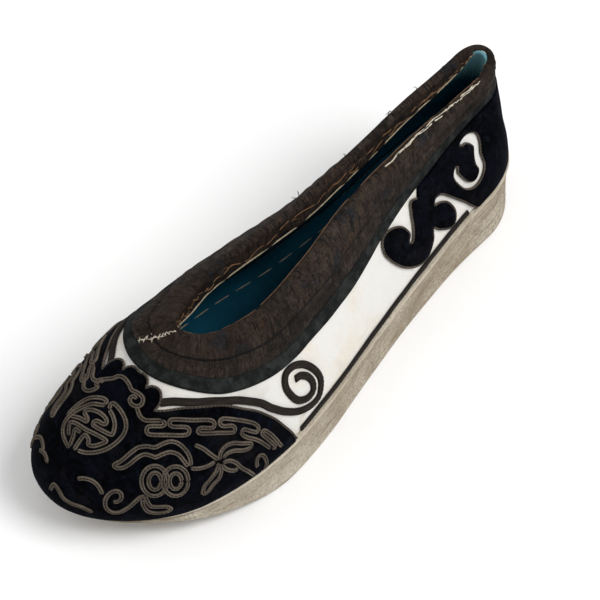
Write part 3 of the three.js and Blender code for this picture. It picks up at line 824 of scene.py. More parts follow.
def velvet_material(looks):
    """Cut pile: dark ground, faint sheen, clumped nap in the bump, painted highlight and shade on the nap
    clumps, rubbed spots and lint.
    """
    material, tree, shader, place, _ = new_material("navy_velvet", 1.0, 0.02, 0.3, 0.03)
    shader.inputs["Sheen Tint"].default_value = (0.5, 0.6, 1.0, 1)
    nap = noise(tree, place, 1300.0, 3.0, 0.7)
    # clumps of the nap: in the bump, and in the colour as painted highlight and shade
    clump = noise(tree, place, 330.0, 4.0, 0.7, 0.6)
    brushed = noise(tree, place, 60.0, 5.0, 0.65, 0.8)
    worn = blotches(tree, place, 70.0, 0.60, 0.10)
    lint = blotches(tree, place, 520.0, 0.735, 0.015)
    coats = ((times(tree, worn, 0.35), (0.014, 0.013, 0.013)),
             # painted highlight on the nap clumps
             (smooth_range(tree, clump, 0.50, 0.72, 0.0, 0.6), rgba(looks.velvet, 4.6)),
             # painted shade between the nap clumps
             (smooth_range(tree, clump, 0.46, 0.36, 0.0, 0.8), rgba(looks.velvet, 0.1)),
             (times(tree, lint, 0.35), (0.10, 0.095, 0.09)))
    return finished(material, mottled(tree, brushed, 0.38, 0.66, looks.velvet, 0.3, 1.5), coats,
                    ((brushed, 0.5, 0.0008), (clump, 0.7, 0.0006), (nap, 0.6, 0.0003)))


def cord_material(looks):
    """Couched silk cord: twisted strands with painted shade in their grooves, painted shade all along the
    groove between the two cords, and dark stitch dots in that groove.
    """
    material, tree, _, place, uv = new_material("taupe_cord", 0.85, 0.0, 0.5, 0.15)
    along, across = parted(tree, uv)[:2]
    twist = wave(tree, plus(tree, along, times(tree, across, 0.8)), 0.42)
    stitch = math_node(tree, "LESS_THAN", math_node(tree, "PINGPONG", along, COUCHING_STEP / 2), 0.24)
    middle = smooth_range(tree, size_of(tree, across), 0.40, 0.16)
    tone = noise(tree, place, 160.0, 4.0, 0.6)
    # painted shade in the grooves of the twist
    coats = ((times(tree, smooth_range(tree, twist, 0.2, -0.9), 0.35), rgba(looks.cord, 0.3)),
             # painted shade all along the groove between the two cords, and the dark couching stitches
             # across it
             (times(tree, middle, plus(tree, times(tree, stitch, 0.6), 0.4)), (0.012, 0.009, 0.009)))
    return finished(material, mottled(tree, tone, 0.3, 0.7, looks.cord, 0.62, 1.25), coats,
                    ((twist, 0.5, 0.00008), (tone, 0.3, 0.0002)))


def braid_material(looks):
    """Flat braid: chevron strands with painted shade in their grooves, lighter worn middle, near-black
    edges.
    """
    material, tree, _, _, uv = new_material("dark_braid", 0.85, 0.0, 0.5, 0.12)
    along, across = parted(tree, uv)[:2]
    aside = size_of(tree, across)
    chevron = wave(tree, plus(tree, along, times(tree, aside, 1.1)), 0.8)
    wear = streaks(tree, uv, 0.12, 1.6, 4.0, 0.6)
    # painted shade in the grooves between the chevron strands
    coats = ((times(tree, smooth_range(tree, chevron, 0.1, -0.8), 0.45), rgba(looks.braid, 0.3)),
             (times(tree, smooth_range(tree, aside, 0.85, 1.5), 0.85), (0.012, 0.010, 0.010)))
    return finished(material, mottled(tree, wear, 0.35, 0.65, looks.braid, 0.55, 1.5), coats,
                    ((chevron, 0.6, 0.00018), (wear, 0.3, 0.0003)))


def satin_material(looks):
    """Worn satin: cross creases with painted shade in them, and cracks, mottling, blue-black and rust
    patches near the lip, painted shadow along the seam between its two strips and under the lower strip's
    edge."""
    material, tree, shader, place, uv = new_material("worn_satin", 0.7, 0.0, 0.4, 0.2)
    zone = add_node(tree, "ShaderNodeAttribute", attribute_name="zone").outputs["Fac"]
    mottle = noise(tree, place, 210.0, 6.0, 0.7, 0.4)
    broad = noise(tree, place, 48.0, 4.0, 0.6)
    cross = streaks(tree, uv, 0.85, 0.13, 6.0, 0.7, 1.1)
    crack = streaks(tree, uv, 0.30, 0.55, 6.0, 0.75, 2.2)
    thread = streaks(tree, uv, 3.4, 0.5, 3.0, 0.7, 0.4)
    upper = times(tree, smooth_range(tree, zone, -0.15, 0.05), smooth_range(tree, zone, 1.02, 0.90))
    inner = smooth_range(tree, zone, 0.0, -0.2)
    rust = blotches(tree, place, 50.0, 0.52, 0.08)
    blue = blotches(tree, place, 62.0, 0.585, 0.05)
    rusty = times(tree, rust, plus(tree, times(tree, upper, 0.75), times(tree, inner, 0.5)))
    bluish = times(tree, blue, plus(tree, times(tree, upper, 0.85), times(tree, inner, 0.6)))
    bare = times(tree, smooth_range(tree, thread, 0.50, 0.66), times(tree, upper, 0.6))
    # where the two strips meet and where the lower one ends, for a painted shadow line along each
    seams = [size_of(tree, less(tree, zone, at)) for at in (1.0, 2.0)]
    coats = ((smooth_range(tree, mottle, 0.47, 0.68, 0.0, 0.8), rgba(looks.satin, 2.6)),
             (rusty, (0.058, 0.031, 0.019)),
             (bluish, (0.010, 0.020, 0.032)),
             (bare, rgba(looks.satin, 3.4)),
             # painted shade in the cross creases
             (smooth_range(tree, cross, 0.50, 0.42, 0.0, 0.9), rgba(looks.satin, 0.12)),
             (smooth_range(tree, crack, 0.47, 0.42, 0.0, 0.92), rgba(looks.satin, 0.08)),
             # painted shadow along the step between the strips and under the lower strip's edge
             *((smooth_range(tree, seam, 0.05, 0.02, 0.0, 0.9), (0.006, 0.005, 0.005)) for seam in seams))
    tree.links.new(smooth_range(tree, mottle, 0.3, 0.7, 0.85, 0.6), shader.inputs["Roughness"])
    bumps = ((cross, 1.0, 0.0028), (crack, 1.0, 0.0020), (mottle, 0.6, 0.0009), (thread, 0.3, 0.0002))
    return finished(material, mottled(tree, broad, 0.38, 0.66, looks.satin, 0.55, 1.35), coats, bumps)


def ribbon_material(looks):
    """Ribbed ribbon: fine ribs across its width with painted shade between them, blue-black with grey rubbed
    areas and near-black edges.
    """
    material, tree, _, place, uv = new_material("dark_ribbon", 0.85, 0.0, 0.5, 0.12)
    zone = add_node(tree, "ShaderNodeAttribute", attribute_name="zone").outputs["Fac"]
    rib = size_of(tree, wave(tree, parted(tree, uv)[0], 2 * RIBBON_RIB))
    rubbed = noise(tree, place, 150.0, 6.0, 0.7, 0.3)
    off = size_of(tree, less(tree, zone, 0.5))
    # painted shade between the ribs
    coats = ((times(tree, less(tree, 1.0, rib), 0.5), (0.004, 0.005, 0.006)),
             (smooth_range(tree, off, 0.36, 0.43, 0.0, 0.92), (0.005, 0.005, 0.006)))
    return finished(material, mottled(tree, rubbed, 0.40, 0.66, looks.ribbon, 0.35, 2.4), coats,
                    ((rubbed, 0.4, 0.0005), (rib, 0.5, 0.00012)))


def lining_material(looks):
    """Lining cloth: blue with paler streaks, and a painted highlight, paler and greener, at the heel peak.
    """
    material, tree, _, place, uv = new_material("blue_lining", 0.75, 0.0, 0.4, 0.15)
    weave = plain_weave(tree, uv, 0.45)
    streak = streaks(tree, uv, 0.5, 0.03, 4.0, 0.5)
    cloud = noise(tree, place, 28.0, 3.0)
    along, _, up = parted(tree, place)
    # painted highlight where the lining turns over at the heel peak
    heel = times(tree, smooth_range(tree, along, -0.088, -0.106), smooth_range(tree, up, 0.060, 0.074))
    coats = ((smooth_range(tree, streak, 0.45, 0.75, 0.0, 0.3), rgba(looks.lining, 1.7)),
             # painted highlight at the heel peak
             (times(tree, heel, 0.85), (0.16, 0.36, 0.40)))
    return finished(material, mottled(tree, cloud, 0.35, 0.7, looks.lining, 0.8, 1.3), coats,
                    ((streak, 0.4, 0.0006), (weave, 0.3, 0.0001)))


def sole_material(looks, name, tone, soil_and_shade):
    """Pasted cloth layers: wavy creases along the layers with painted shade in them, fine grain, brown-grey
    soiling, heavier towards the heel, a few dark specks, and a painted shadow along the top of the side,
    under the edge above it. Tone is the gain of the sole's colour, soil_and_shade the strength of the dirt,
    of the painted shade in the creases and of the painted shadow under the top edge."""
    material, tree, _, place, uv = new_material(name, 0.95, 0.0, 0.6, 0.1)
    layers = streaks(tree, uv, 0.045, 0.9, 6.0, 0.65, 0.9)
    fibre = streaks(tree, uv, 0.8, 1.1, 6.0, 0.78, 0.6)
    grain = noise(tree, place, 900.0, 4.0, 0.7)
    cloud = blotches(tree, place, 90.0, 0.53, 0.12)
    grey = blotches(tree, place, 30.0, 0.50, 0.16)
    speck = blotches(tree, place, 330.0, 0.715, 0.02)
    heel = smooth_range(tree, parted(tree, place)[0], 0.11, -0.06)
    grime = times(tree, soil_and_shade, plus(tree, 0.5, times(tree, heel, 0.5)))
    # distance down the side from its top edge, where a painted shadow lies under the edge above it
    foot = parted(tree, uv)[1]
    frayed = smooth_range(tree, fibre, 0.52, 0.40)
    coats = ((times(tree, grey, times(tree, grime, 0.95)), (0.47, 0.385, 0.275)),
             (times(tree, cloud, times(tree, grime, 0.65)), (0.34, 0.27, 0.18)),
             (times(tree, frayed, times(tree, grime, 0.9)), (0.27, 0.215, 0.15)),
             # painted shade in the creases along the layers
             (smooth_range(tree, layers, 0.42, 0.37, 0.0, soil_and_shade * 0.8), (0.25, 0.19, 0.12)),
             (smooth_range(tree, grain, 0.50, 0.36, 0.0, soil_and_shade * 0.5), (0.36, 0.31, 0.24)),
             (times(tree, speck, 0.85), (0.04, 0.03, 0.02)),
             # painted shadow along the top of the side, under the edge above it
             (smooth_range(tree, foot, 1.3, 0.1, 0.0, soil_and_shade * 0.7), (0.20, 0.155, 0.10)))
    return finished(material, rgba(looks.sole, tone), coats,
                    ((layers, 0.9, 0.0022), (fibre, 0.8, 0.0012), (grain, 0.4, 0.0004)))


def thread_material(looks, name):
    """Single threads, a little uneven in tone."""
    material, tree, _, place, _ = new_material(name, 0.8, 0.0, 0.5, 0.2)
    tone = noise(tree, place, 700.0, 3.0)
    return finished(material, mottled(tree, tone, 0.3, 0.7, THREAD_COLORS[name], 0.7, 1.3), (),
                    ((tone, 0.4, 0.0001),))


def made(context, maker, *args):
    """A material made once and then shared."""
    key = "_".join([maker.__name__] + [str(a) for a in args if isinstance(a, str)])
    if key not in MADE:
        MADE[key] = maker(context.scene.cloth_shoe, *args)
    return MADE[key]


MADE = {}


def color_property(name, description, default):
    return bpy.props.FloatVectorProperty(name=name, description=description, default=default, size=3,
                                         subtype="COLOR", min=0.0, max=1.0)


class ClothShoeLooks(bpy.types.PropertyGroup):
    """Colours and fine sizes that a user would change."""
    cloth: color_property("Upper cloth", "Cotton ground of the upper", (0.72, 0.708, 0.68))
    cloth_stain: color_property("Stains", "Faint yellow stains of the cotton", (0.66, 0.54, 0.36))
    velvet: color_property("Velvet", "Toe cap and heel counter", (0.0013, 0.0016, 0.0031))
    cord: color_property("Cord", "Couched cords and edge cords", (0.115, 0.094, 0.072))
    braid: color_property("Braid", "Flat braids", (0.020, 0.0155, 0.0125))
    satin: color_property("Satin", "Collar binding", (0.038, 0.0262, 0.0190))
    ribbon: color_property("Ribbon", "Ribbon below the binding", (0.0098, 0.0112, 0.0106))
    lining: color_property("Lining", "Inside of the upper", (0.0012, 0.047, 0.080))
    sole: color_property("Sole", "Layered cloth of the sole", (0.80, 0.725, 0.600))
    cord_width: bpy.props.FloatProperty(name="Cord pair width", description="Two couched cords side by side",
                                        default=COUPLE_WIDTH * MM, unit="LENGTH", subtype="DISTANCE")


class CLOTHSHOE_OT_sole(bpy.types.Operator):
    """Builds the layered sole, its bound top layer and the insole"""
    bl_idname = "clothshoe.sole"
    bl_label = "Sole"

    def execute(self, context):
        def layer_foot(x):
            return sole_top(x) - np.minimum(TOP_LAYER, (sole_top(x) - sole_under(x)) / 2)

        def lip(x):
            return sole_edge(x) - TOP_LAYER_LIP

        def inset(x):
            return -INSOLE_INSET + 0 * x

        layers = made(context, sole_material, "sole_layers", 0.97, 0.9)
        # the rim's tone of 1.16, against 0.97 for the layers, paints a highlight on its rounded top ledge
        rim = made(context, sole_material, "sole_rim_cloth", 1.16, 0.45)
        body = plate("sole_body", lambda x: layer_foot(x) - CLEARANCE, sole_under, lip,
                     lambda x: lip(x) + SOLE_FLARE, 0.9, sole_waves)
        settle(body, layers, "sole_cloth", "sole_stack")
        edge = plate("sole_rim", sole_top, layer_foot, sole_edge, sole_edge, 0.8, rim_waves)
        settle(edge, rim, "sole_edge_cloth", "sole_top_layer")
        insole = plate("insole_cloth", lambda x: sole_top(x) + CLEARANCE + INSOLE_THICKNESS,
                       lambda x: sole_top(x) + CLEARANCE, inset, inset, 0.4, lambda around, t: 0 * around)
        settle(insole, made(context, lining_material), "insole_cloth", "insole")
        return {"FINISHED"}


def sole_waves(around, t):
    """Soft outward waves of the glued side: long ones round the sole, a hollow between top and foot."""
    a = around * ROUND_LENGTH
    return (0.35 * np.sin(a / 13.0 + 1.7 * np.sin(a / 41.0)) * np.sin(np.pi * t)
            + 0.22 * np.sin(a / 5.3 + 3 * t) * np.sin(np.pi * t) - 0.35 * np.sin(np.pi * t)
            + 0.12 * np.sin(t * 38 + np.sin(a / 17.0)))


def rim_waves(around, t):
    """Slight unevenness of the bound edge, drawn in at the stitches."""
    a = around * ROUND_LENGTH
    return (0.12 * np.sin(a / 9.0) + 0.10 * np.sin(a / 2.1)) * np.sin(np.pi * t)


def plate(name, upper_z, lower_z, upper_edge, lower_edge, rounding, waves):
    """Plate over the foot line: its side runs from one offset above to another below with rounded corners,
    and the top and the underside are ruled from side to side."""
    columns, rows = GRIDS[name]
    around = np.arange(columns) * 2 / columns
    t = np.linspace(0, 1, rows)
    plan = foot_plan(around)
    x = plan[:, 0]
    out = plan_outward(around)
    high, low = upper_z(x)[:, None], lower_z(x)[:, None]
    tall = high - low
    z = high - tall * t
    corner = np.minimum(rounding, tall * 0.4)
    near_edge = np.minimum(z - low, high - z)
    draw_in = corner - np.sqrt(np.maximum(corner**2 - np.maximum(corner - near_edge, 0) ** 2, 0))
    offset = upper_edge(x)[:, None] * (1 - t) + lower_edge(x)[:, None] * t - draw_in
    offset = offset + waves(around[:, None] + 0 * t, t + 0 * around[:, None])
    side = np.concatenate([plan[:, None] + out[:, None, :2] * offset[..., None], z[..., None]], -1)
    cells, flat = grid_quads(columns, rows, True)
    run = run_along(side[:, 0])
    run = np.append(run, 2 * run[-1] - run[-2])
    uv = np.stack(np.broadcast_arrays(run[:, None], np.append(tall, tall[:1], 0) * t), -1)
    points, faces, corners = [side.reshape(-1, 3)], [cells], [uv.reshape(-1, 2)[flat]]
    column = np.arange(columns // 2 + 1)
    across = np.linspace(0, 1, PLATE_ROWS)[None, :, None]
    quads, _ = grid_quads(len(column), PLATE_ROWS, False)
    for row, turned in ((0, quads[:, ::-1]), (rows - 1, quads)):
        cap = side[column, row][:, None] * (1 - across) + side[-column, row][:, None] * across
        cap = cap.reshape(-1, 3)
        faces.append(turned + sum(len(p) for p in points))
        points.append(cap)
        corners.append(cap[:, :2][turned])
    obj = make_object(name, bent(np.concatenate(points)), np.concatenate(faces), np.concatenate(corners))
    weld(obj)
    return obj


def wall_uv(around, drop):
    """UVs in millimetres: distance along the foot line, distance down from the topline."""
    return np.stack(np.broadcast_arrays(around * ROUND_LENGTH, drop), -1)


def ring_of(columns):
    """Round shares of a ring's columns, with the first column once more at the end for the UVs."""
    return np.arange(columns + 1)[:, None] * 2 / columns


def wall_ring(name, outer_lift, inner_lift):
    """Closed ring of cloth from the lip to the foot line, between two lifts off the wall."""
    columns, rows = GRIDS[name]
    around = ring_of(columns)
    rise = np.linspace(1, 0, rows)[None, :]
    uv = wall_uv(around, (1 - rise) * wall_length(around))
    around = around[:-1]
    outer = bent(wall(around, rise, outer_lift)[0])
    return shell(name, outer, bent(wall(around, rise, inner_lift(around, rise))[0]), uv)


class CLOTHSHOE_OT_upper(bpy.types.Operator):
    """Builds the cotton upper and its blue lining"""
    bl_idname = "clothshoe.upper"
    bl_label = "Upper"

    def execute(self, context):
        cloth = wall_ring("upper_cloth", 0.0, lambda around, rise: -FACING_DEPTH)
        settle(cloth, made(context, cloth_material), "upper_cloth", "upper")
        lining = wall_ring("upper_lining", -LINING_DEPTH, lining_face)
        settle(lining, made(context, lining_material), "insole_cloth", "upper")
        return {"FINISHED"}


def lining_face(around, rise):
    """Lift of the lining's face: small pleats at the heel peak, fading out along the sides."""
    heel = np.exp(-((side_of(around)[0] / 0.2) ** 2))
    pleats = 0.5 + 0.5 * np.sin(np.mod(around + 1, 2) * ROUND_LENGTH / 0.75)
    return -UPPER_WALL - 0.7 * heel * pleats * np.clip(rise * 3, 0, 1)


class CLOTHSHOE_OT_collar(bpy.types.Operator):
    """Builds the satin binding, folded over the lip, and the ribbon below it"""
    bl_idname = "clothshoe.collar"
    bl_label = "Collar"

    def execute(self, context):
        self.binding(context)
        self.ribbon(context)
        return {"FINISHED"}

    def binding(self, context):
        around = ring_of(COLLAR_COLUMNS)
        depth = band_depth(foot_station(around))
        drop, lift, zone, hang = binding_profile(around, depth)
        wrinkle = binding_wrinkles(around, drop, depth, zone)
        points = wall(around, rise_at(around, drop), lift + wrinkle)[0]
        drape = -plan_outward(around) * flare(around)[..., None]
        drape = drape - UP * turn_in(side_of(around)[0])[..., None]
        points = bent(points + hang[..., None] * drape)[:-1]
        columns, rows = points.shape[:2]
        i = np.arange(columns)[:, None]
        i2 = (i + 1) % columns * rows
        k = np.arange(rows)[None, :]
        k2 = (k + 1) % rows
        faces = np.stack([i * rows + k, i2 + k, i2 + k2, i * rows + k2], -1)
        run = run_along(points[columns // 4])
        run = np.append(run, run[-1] + 0.5)
        u = np.concatenate([i, i + 1, i + 1, i], 1)[:, None] * 2 * ROUND_LENGTH / columns
        v = np.stack([run[k], run[k], run[k + 1], run[k + 1]], -1)
        uv = np.stack(np.broadcast_arrays(u, v), -1)
        obj = make_object("collar_satin", points.reshape(-1, 3), faces.reshape(-1, 4), uv.reshape(-1, 2))
        set_zone(obj, np.broadcast_to(zone, (columns, rows)))
        settle(obj, made(context, satin_material), "binding_satin", "collar_binding")

    def ribbon(self, context):
        around = ring_of(COLLAR_COLUMNS)
        depth = band_depth(foot_station(around))
        share = np.linspace(0, 1, RIBBON_ROWS)[None, :]
        start = depth * BINDING_SHARE - RIBBON_TUCK
        drop = start + (depth - start) * share
        edge = np.minimum(share, 1 - share) * (depth - start)
        full = np.sqrt(1 - (1 - np.clip(edge / 0.6, 0, 1)) ** 2)
        wrinkle = 0.10 * np.sin(around * ROUND_LENGTH / 3.7) * np.sin(np.pi * share)
        face = CLEARANCE + 0.15 + (TRIM_THICKNESS - 0.15) * full + wrinkle
        rise = rise_at(around, drop)
        outer, inner = (bent(wall(around, rise, lift)[0])[:-1] for lift in (face, CLEARANCE / 2))
        obj = shell("collar_ribbon_cloth", outer, inner, wall_uv(around, drop))
        set_zone(obj, np.broadcast_to(share, (2 * COLLAR_COLUMNS, RIBBON_ROWS)))
        settle(obj, made(context, ribbon_material), "ribbon", "collar_ribbon")


def eased(share):
    """Smooth step from 0 to 1."""
    share = np.clip(share, 0, 1)
    return share**2 * (3 - 2 * share)


def flare(around):
    """How far in the hanging satin swings, in step with its drop."""
    return TURN_IN_FLARE * turn_in(side_of(around)[0]) / max(TURN_IN["drop"])


def lip_inside(around):
    """Lift of the satin's inner face: just inside the lining, but at the heel peak and mostly at the throat
    it stops on the lip."""
    near = side_of(around)[0]
    covered = eased(near / HEEL_PEAK_END) * (1 - 0.7 * eased((near - THROAT_START) / THROAT_REACH))
    return -1.0 - (UPPER_WALL + CLEARANCE + TURN_IN_THICKNESS - 1.0) * covered


def binding_profile(around, depth):
    """Closed profile of the binding as rows of (drop, lift, zone, hang): up the satin that hangs inside the
    mouth, over the lip, down the outside in two strips, and back along the wall.
    Zone is -1 to 0 inside, 0 to 1 on the upper strip and 1 to 2 on the lower one."""
    full = CLEARANCE + BINDING_THICKNESS
    within = lip_inside(around)
    radius, centre = (full - within) / 2, (full + within) / 2
    seam, foot = depth * BINDING_SEAM, depth * BINDING_SHARE
    rows = []
    for share in np.linspace(1, 0, 9):
        rows.append((0.0, within - 0.35 * math.sin(math.pi * share), -share, share))
    for angle in np.linspace(0, math.pi, 10)[1:-1]:
        drop = -CLEARANCE - radius * LIP_ROUND * math.sin(angle)
        rows.append((drop, centre - radius * math.cos(angle), 0.0, 0.0))
    for share in np.linspace(0, 1, 12):
        rows.append((seam * share, full + 0.15 * math.sin(math.pi * share), 0.02 + 0.98 * share, 0.0))
    rows.append((seam + 0.3, full - 0.45, 1.0, 0.0))
    for share in np.linspace(0.04, 1, 10):
        drop = depth * (BINDING_SEAM + (BINDING_SHARE - BINDING_SEAM) * share) + 0.3 * (1 - share)
        rows.append((drop, full - 0.35 + 0.12 * math.sin(math.pi * share), 1 + share, 0.0))
    rows.append((foot + 0.15, CLEARANCE + 0.35, 2.0, 0.0))
    rows.append((foot - 0.2, CLEARANCE * 0.6, 2.0, 0.0))
    for share in np.linspace(0.9, 0, 6):
        rows.append((foot * share, CLEARANCE * 0.6, 2.0, 0.0))
    rows.append((-CLEARANCE * 0.8, -UPPER_WALL / 2, 2.0, 0.0))
    for share in np.linspace(0, 1, 6):
        rows.append((0.0, within + TURN_IN_THICKNESS, -share, share))
    drop, lift = (np.concatenate([np.broadcast_to(row[k], depth.shape) for row in rows], 1) for k in (0, 1))
    zone, hang = (np.array([[row[k] for row in rows]]) for k in (2, 3))
    return drop, lift, zone, hang


# Lumps and troughs of the worn collar: wall shares round, millimetres below the lip, height and reach
COLLAR_LUMPS = {
    "round": (1.125, 1.075, 0.985, 0.960, 0.93, 0.70, 0.62, 0.57, 0.50, 0.43, 0.37, 0.30, 1.12, 1.2),
    "drop": (17.0, 11.0, 5.0, 10.0, 5.0, 6.0, 5.0, 7.0, 5.0, 4.0, 5.0, 3.0, 6.0, 8.0),
    "height": (2.2, -1.1, -0.6, 0.6, 0.6, 0.5, -0.5, 0.6, -0.4, 0.7, -0.5, 0.6, 0.8, -0.6),
    "reach": (6.5, 3.2, 2.6, 3.5, 6.0, 9.0, 5.0, 7.0, 5.0, 6.0, 4.0, 5.0, 5.0, 5.0),
}


def binding_wrinkles(around, drop, depth, zone):
    """Cross pleats, long folds and lumps of the old satin, and the waves of the part that hangs inside."""
    a = around * ROUND_LENGTH
    face = np.clip(drop / 1.5, 0, 1) * np.clip((depth * BINDING_SHARE - drop) / 1.0, 0, 1)
    strength = 0.5 + 0.5 * np.sin(a / 17.0 + drop * 0.3)
    pleat = 0.20 * np.sin(a / 1.5 + 2.6 * np.sin(a / 9.0) + drop * 0.35) * strength
    fold = 0.20 * np.sin(drop * 1.15 + 1.4 * np.sin(a / 27.0) + 0.6 * np.sin(a / 9.0))
    lump = 0.30 * np.sin(a / 15.0 + drop * 0.2) * np.sin(a / 6.1 + 1.0)
    total = (pleat + fold + lump) * face
    for at, down, height, reach in zip(*COLLAR_LUMPS.values()):
        away = ((np.mod(around, 2) - at) * LIP_LENGTH) ** 2 + (drop - down) ** 2
        total = total + height * np.exp(-away / reach**2) * np.clip(drop / 1.0, 0, 1) * (zone > 0)
    hanging = np.clip(-zone, 0, 1)
    return total + hanging * (0.5 * np.sin(a / 4.3 + 2 * np.sin(a / 13.0)) + 0.35 * np.sin(a / 1.9))


class CLOTHSHOE_OT_velvet(bpy.types.Operator):
    """Builds the velvet toe cap and heel counter with their edge cords"""
    bl_idname = "clothshoe.velvet"
    bl_label = "Velvet"

    def execute(self, context):
        velvet = made(context, velvet_material)
        cord = made(context, cord_material)
        settle(toe_cap(), velvet, "velvet", "toe_cap")
        settle(heel_counter(), velvet, "velvet", "heel_counter")
        settle(edge_cords(), cord, "braid")
        return {"FINISHED"}


def pile_lift(inside):
    """Lift of the velvet's face: a quarter round over its last millimetre, then level."""
    rounding = np.sqrt(1 - (1 - np.clip(inside / VELVET_ROUNDING, 0, 1)) ** 2)
    return CLEARANCE + VELVET_EDGE + (VELVET_THICKNESS - VELVET_EDGE) * rounding


def cut_cloth(name, around, rise, outlines):
    """Velvet cut to outlines given in wall shares, the first outside and the others open: a grid whose
    border corners are drawn onto the outline, and whose cells beyond it are left out."""
    columns, rows = rise.shape
    around = np.broadcast_to(around, rise.shape).ravel().copy()
    rise = rise.ravel().copy()
    step = 0.002
    ahead, behind = (wall(around + turn, rise, 0.0, creased=False)[0] for turn in (step, -step))
    scale = np.stack([np.linalg.norm(ahead - behind, axis=1) / (2 * step), wall_length(around)], -1)
    distance, nearest = outline_distance(np.stack([around, rise], -1), scale, outlines)
    cells, _ = grid_quads(columns, rows, False)
    keep = distance[cells].mean(1) > 0
    kept, dropped = np.zeros(len(around), bool), np.zeros(len(around), bool)
    kept[cells[keep]] = True
    dropped[cells[~keep]] = True
    border = kept & (dropped | (distance < 0))
    around[border], rise[border] = nearest[border, 0], nearest[border, 1]
    distance[border] = 0
    distance.reshape(columns, rows)[:, [0, -1]] = 0
    outer = bent(wall(around, rise, pile_lift(distance))[0])
    uv = wall_uv(around, (1 - rise) * wall_length(around))
    obj = make_object(name, outer, cells[keep], uv[cells[keep]])
    work = bmesh.new()
    work.from_mesh(obj.data)
    bmesh.ops.delete(work, geom=[v for v in work.verts if not v.link_faces], context="VERTS")
    work.to_mesh(obj.data)
    work.free()
    thick = obj.modifiers.new("Backing", "SOLIDIFY")
    thick.thickness = VELVET_BACKING * MM
    thick.offset = -1.0
    return obj


def outline_distance(shares, scale, outlines):
    """Distance in millimetres to the nearest outline, positive on the cloth, and the nearest outline point.
    A point is inside an outline when a line from it crosses the outline an odd number of times."""
    best = np.full(len(shares), 1e9)
    nearest = shares.copy()
    on_cloth = np.ones(len(shares), bool)
    for number, outline in enumerate(outlines):
        start, run = outline, np.roll(outline, -1, 0) - outline
        gap = (shares[:, None] - start[None]) * scale[:, None]
        run_mm = run[None] * scale[:, None]
        part = np.clip((gap * run_mm).sum(-1) / np.maximum((run_mm**2).sum(-1), 1e-12), 0, 1)
        away = ((gap - part[..., None] * run_mm) ** 2).sum(-1)
        pick = away.argmin(1)
        row = np.arange(len(shares))
        closer = away[row, pick] < best**2
        best = np.where(closer, np.sqrt(away[row, pick]), best)
        point = start[pick] + part[row, pick, None] * run[pick]
        nearest = np.where(closer[:, None], point, nearest)
        ends = start + run
        crosses = (start[:, 1] > shares[:, 1:2]) != (ends[:, 1] > shares[:, 1:2])
        slant = run[:, 0] / np.where(run[:, 1] == 0, 1e-9, run[:, 1])
        at = start[:, 0] + (shares[:, 1:2] - start[:, 1]) * slant
        within = (crosses & (shares[:, :1] < at)).sum(1) % 2 == 1
        on_cloth &= within if number == 0 else ~within
    return np.where(on_cloth, best, -best), nearest


def cap_line():
    """The cap's edge in wall shares, from one foot end over the lobes to the other."""
    half = np.stack([CAP_EDGE["round"], CAP_EDGE["rise"]], -1)
    wing, lobes = half[:CAP_CORNER + 1], half[CAP_CORNER:]
    both = np.concatenate([lobes, mirrored(lobes[:-1])[::-1]])
    side = smooth_path(wing, 8)[:-1]
    return np.concatenate([side, smooth_path(both, 6), mirrored(side)[::-1]])


def toe_cap():
    """Velvet over the toe, from its lobed edge down to just under the foot line."""
    columns, rows = GRIDS["toe_cap_velvet"]
    first = CAP_EDGE["round"][0] - 0.004
    around = np.linspace(first, 2 - first, columns)[:, None]
    top = np.minimum(below_band(around, 0.3), CAP_TOP)
    rise = top - (top + 0.7 / wall_length(around)) * np.linspace(0, 1, rows)[None, :]
    line = cap_line()
    outline = np.concatenate([line, [[line[-1, 0], -0.1], [line[0, 0], -0.1]]])
    return cut_cloth("toe_cap_velvet", around, rise, [outline])


def side_line(table):
    """Points of a side-view table in millimetres: along, height."""
    return np.stack([table["along"], table["height"]], -1) * [COUNTER_LENGTH, INSTEP_HEIGHT]


def curl_outline(wider=0.0):
    """Closed outline of the opening: its middle line set off by half its width to either side."""
    middle = smooth_path(np.column_stack([side_line(COUNTER_CURL), COUNTER_CURL["width"]]), 5)
    line, half = middle[:, :2], (middle[:, 2:] + wider) / 2
    along = np.gradient(line, axis=0)
    across = np.stack([-along[:, 1], along[:, 0]], -1) / np.linalg.norm(along, axis=1, keepdims=True)
    return np.concatenate([line + across * half, (line - across * half)[::-1]])


def counter_line():
    """The counter's front edge on the wearer's left in wall shares, from the foot line up to the ribbon."""
    edge = side_line(COUNTER_EDGE)
    return shares_from_side(np.concatenate([edge[:1], smooth_path(edge[1:], 5)]))


def heel_counter():
    """Velvet round the heel, from the ribbon down to the foot line, with its scrolls and curled openings."""
    columns, rows = GRIDS["heel_counter_velvet"]
    around = np.linspace(-COUNTER_ROUND, COUNTER_ROUND, columns)[:, None]
    top = below_band(around, 0.4)
    rise = top - (top + 0.004) * np.linspace(0, 1, rows)[None, :]
    line = counter_line()
    line = np.concatenate([[[line[0, 0], -0.1]], line, [[line[-1, 0], 1.1]]])
    outline = np.concatenate([line, other_side(line)[::-1]])
    opening = shares_from_side(curl_outline())
    return cut_cloth("heel_counter_velvet", around, rise, [outline, opening, other_side(opening)])


def edge_cord(shares, spacing):
    """Round cord along wall shares, its ends drawn in to a point."""
    points, normal = on_wall_line(even_on_wall(shares, spacing), CLEARANCE + EDGE_CORD_LIFT)
    k = np.arange(len(points)) * spacing
    taper = np.sqrt(np.clip((np.minimum(k, k[::-1]) + 0.15) / (EDGE_CORD_RADIUS * 1.5), 0, 1))
    return sweep(points, normal, circle(EDGE_CORD_RADIUS, 8)[None] * taper[:, None, None])


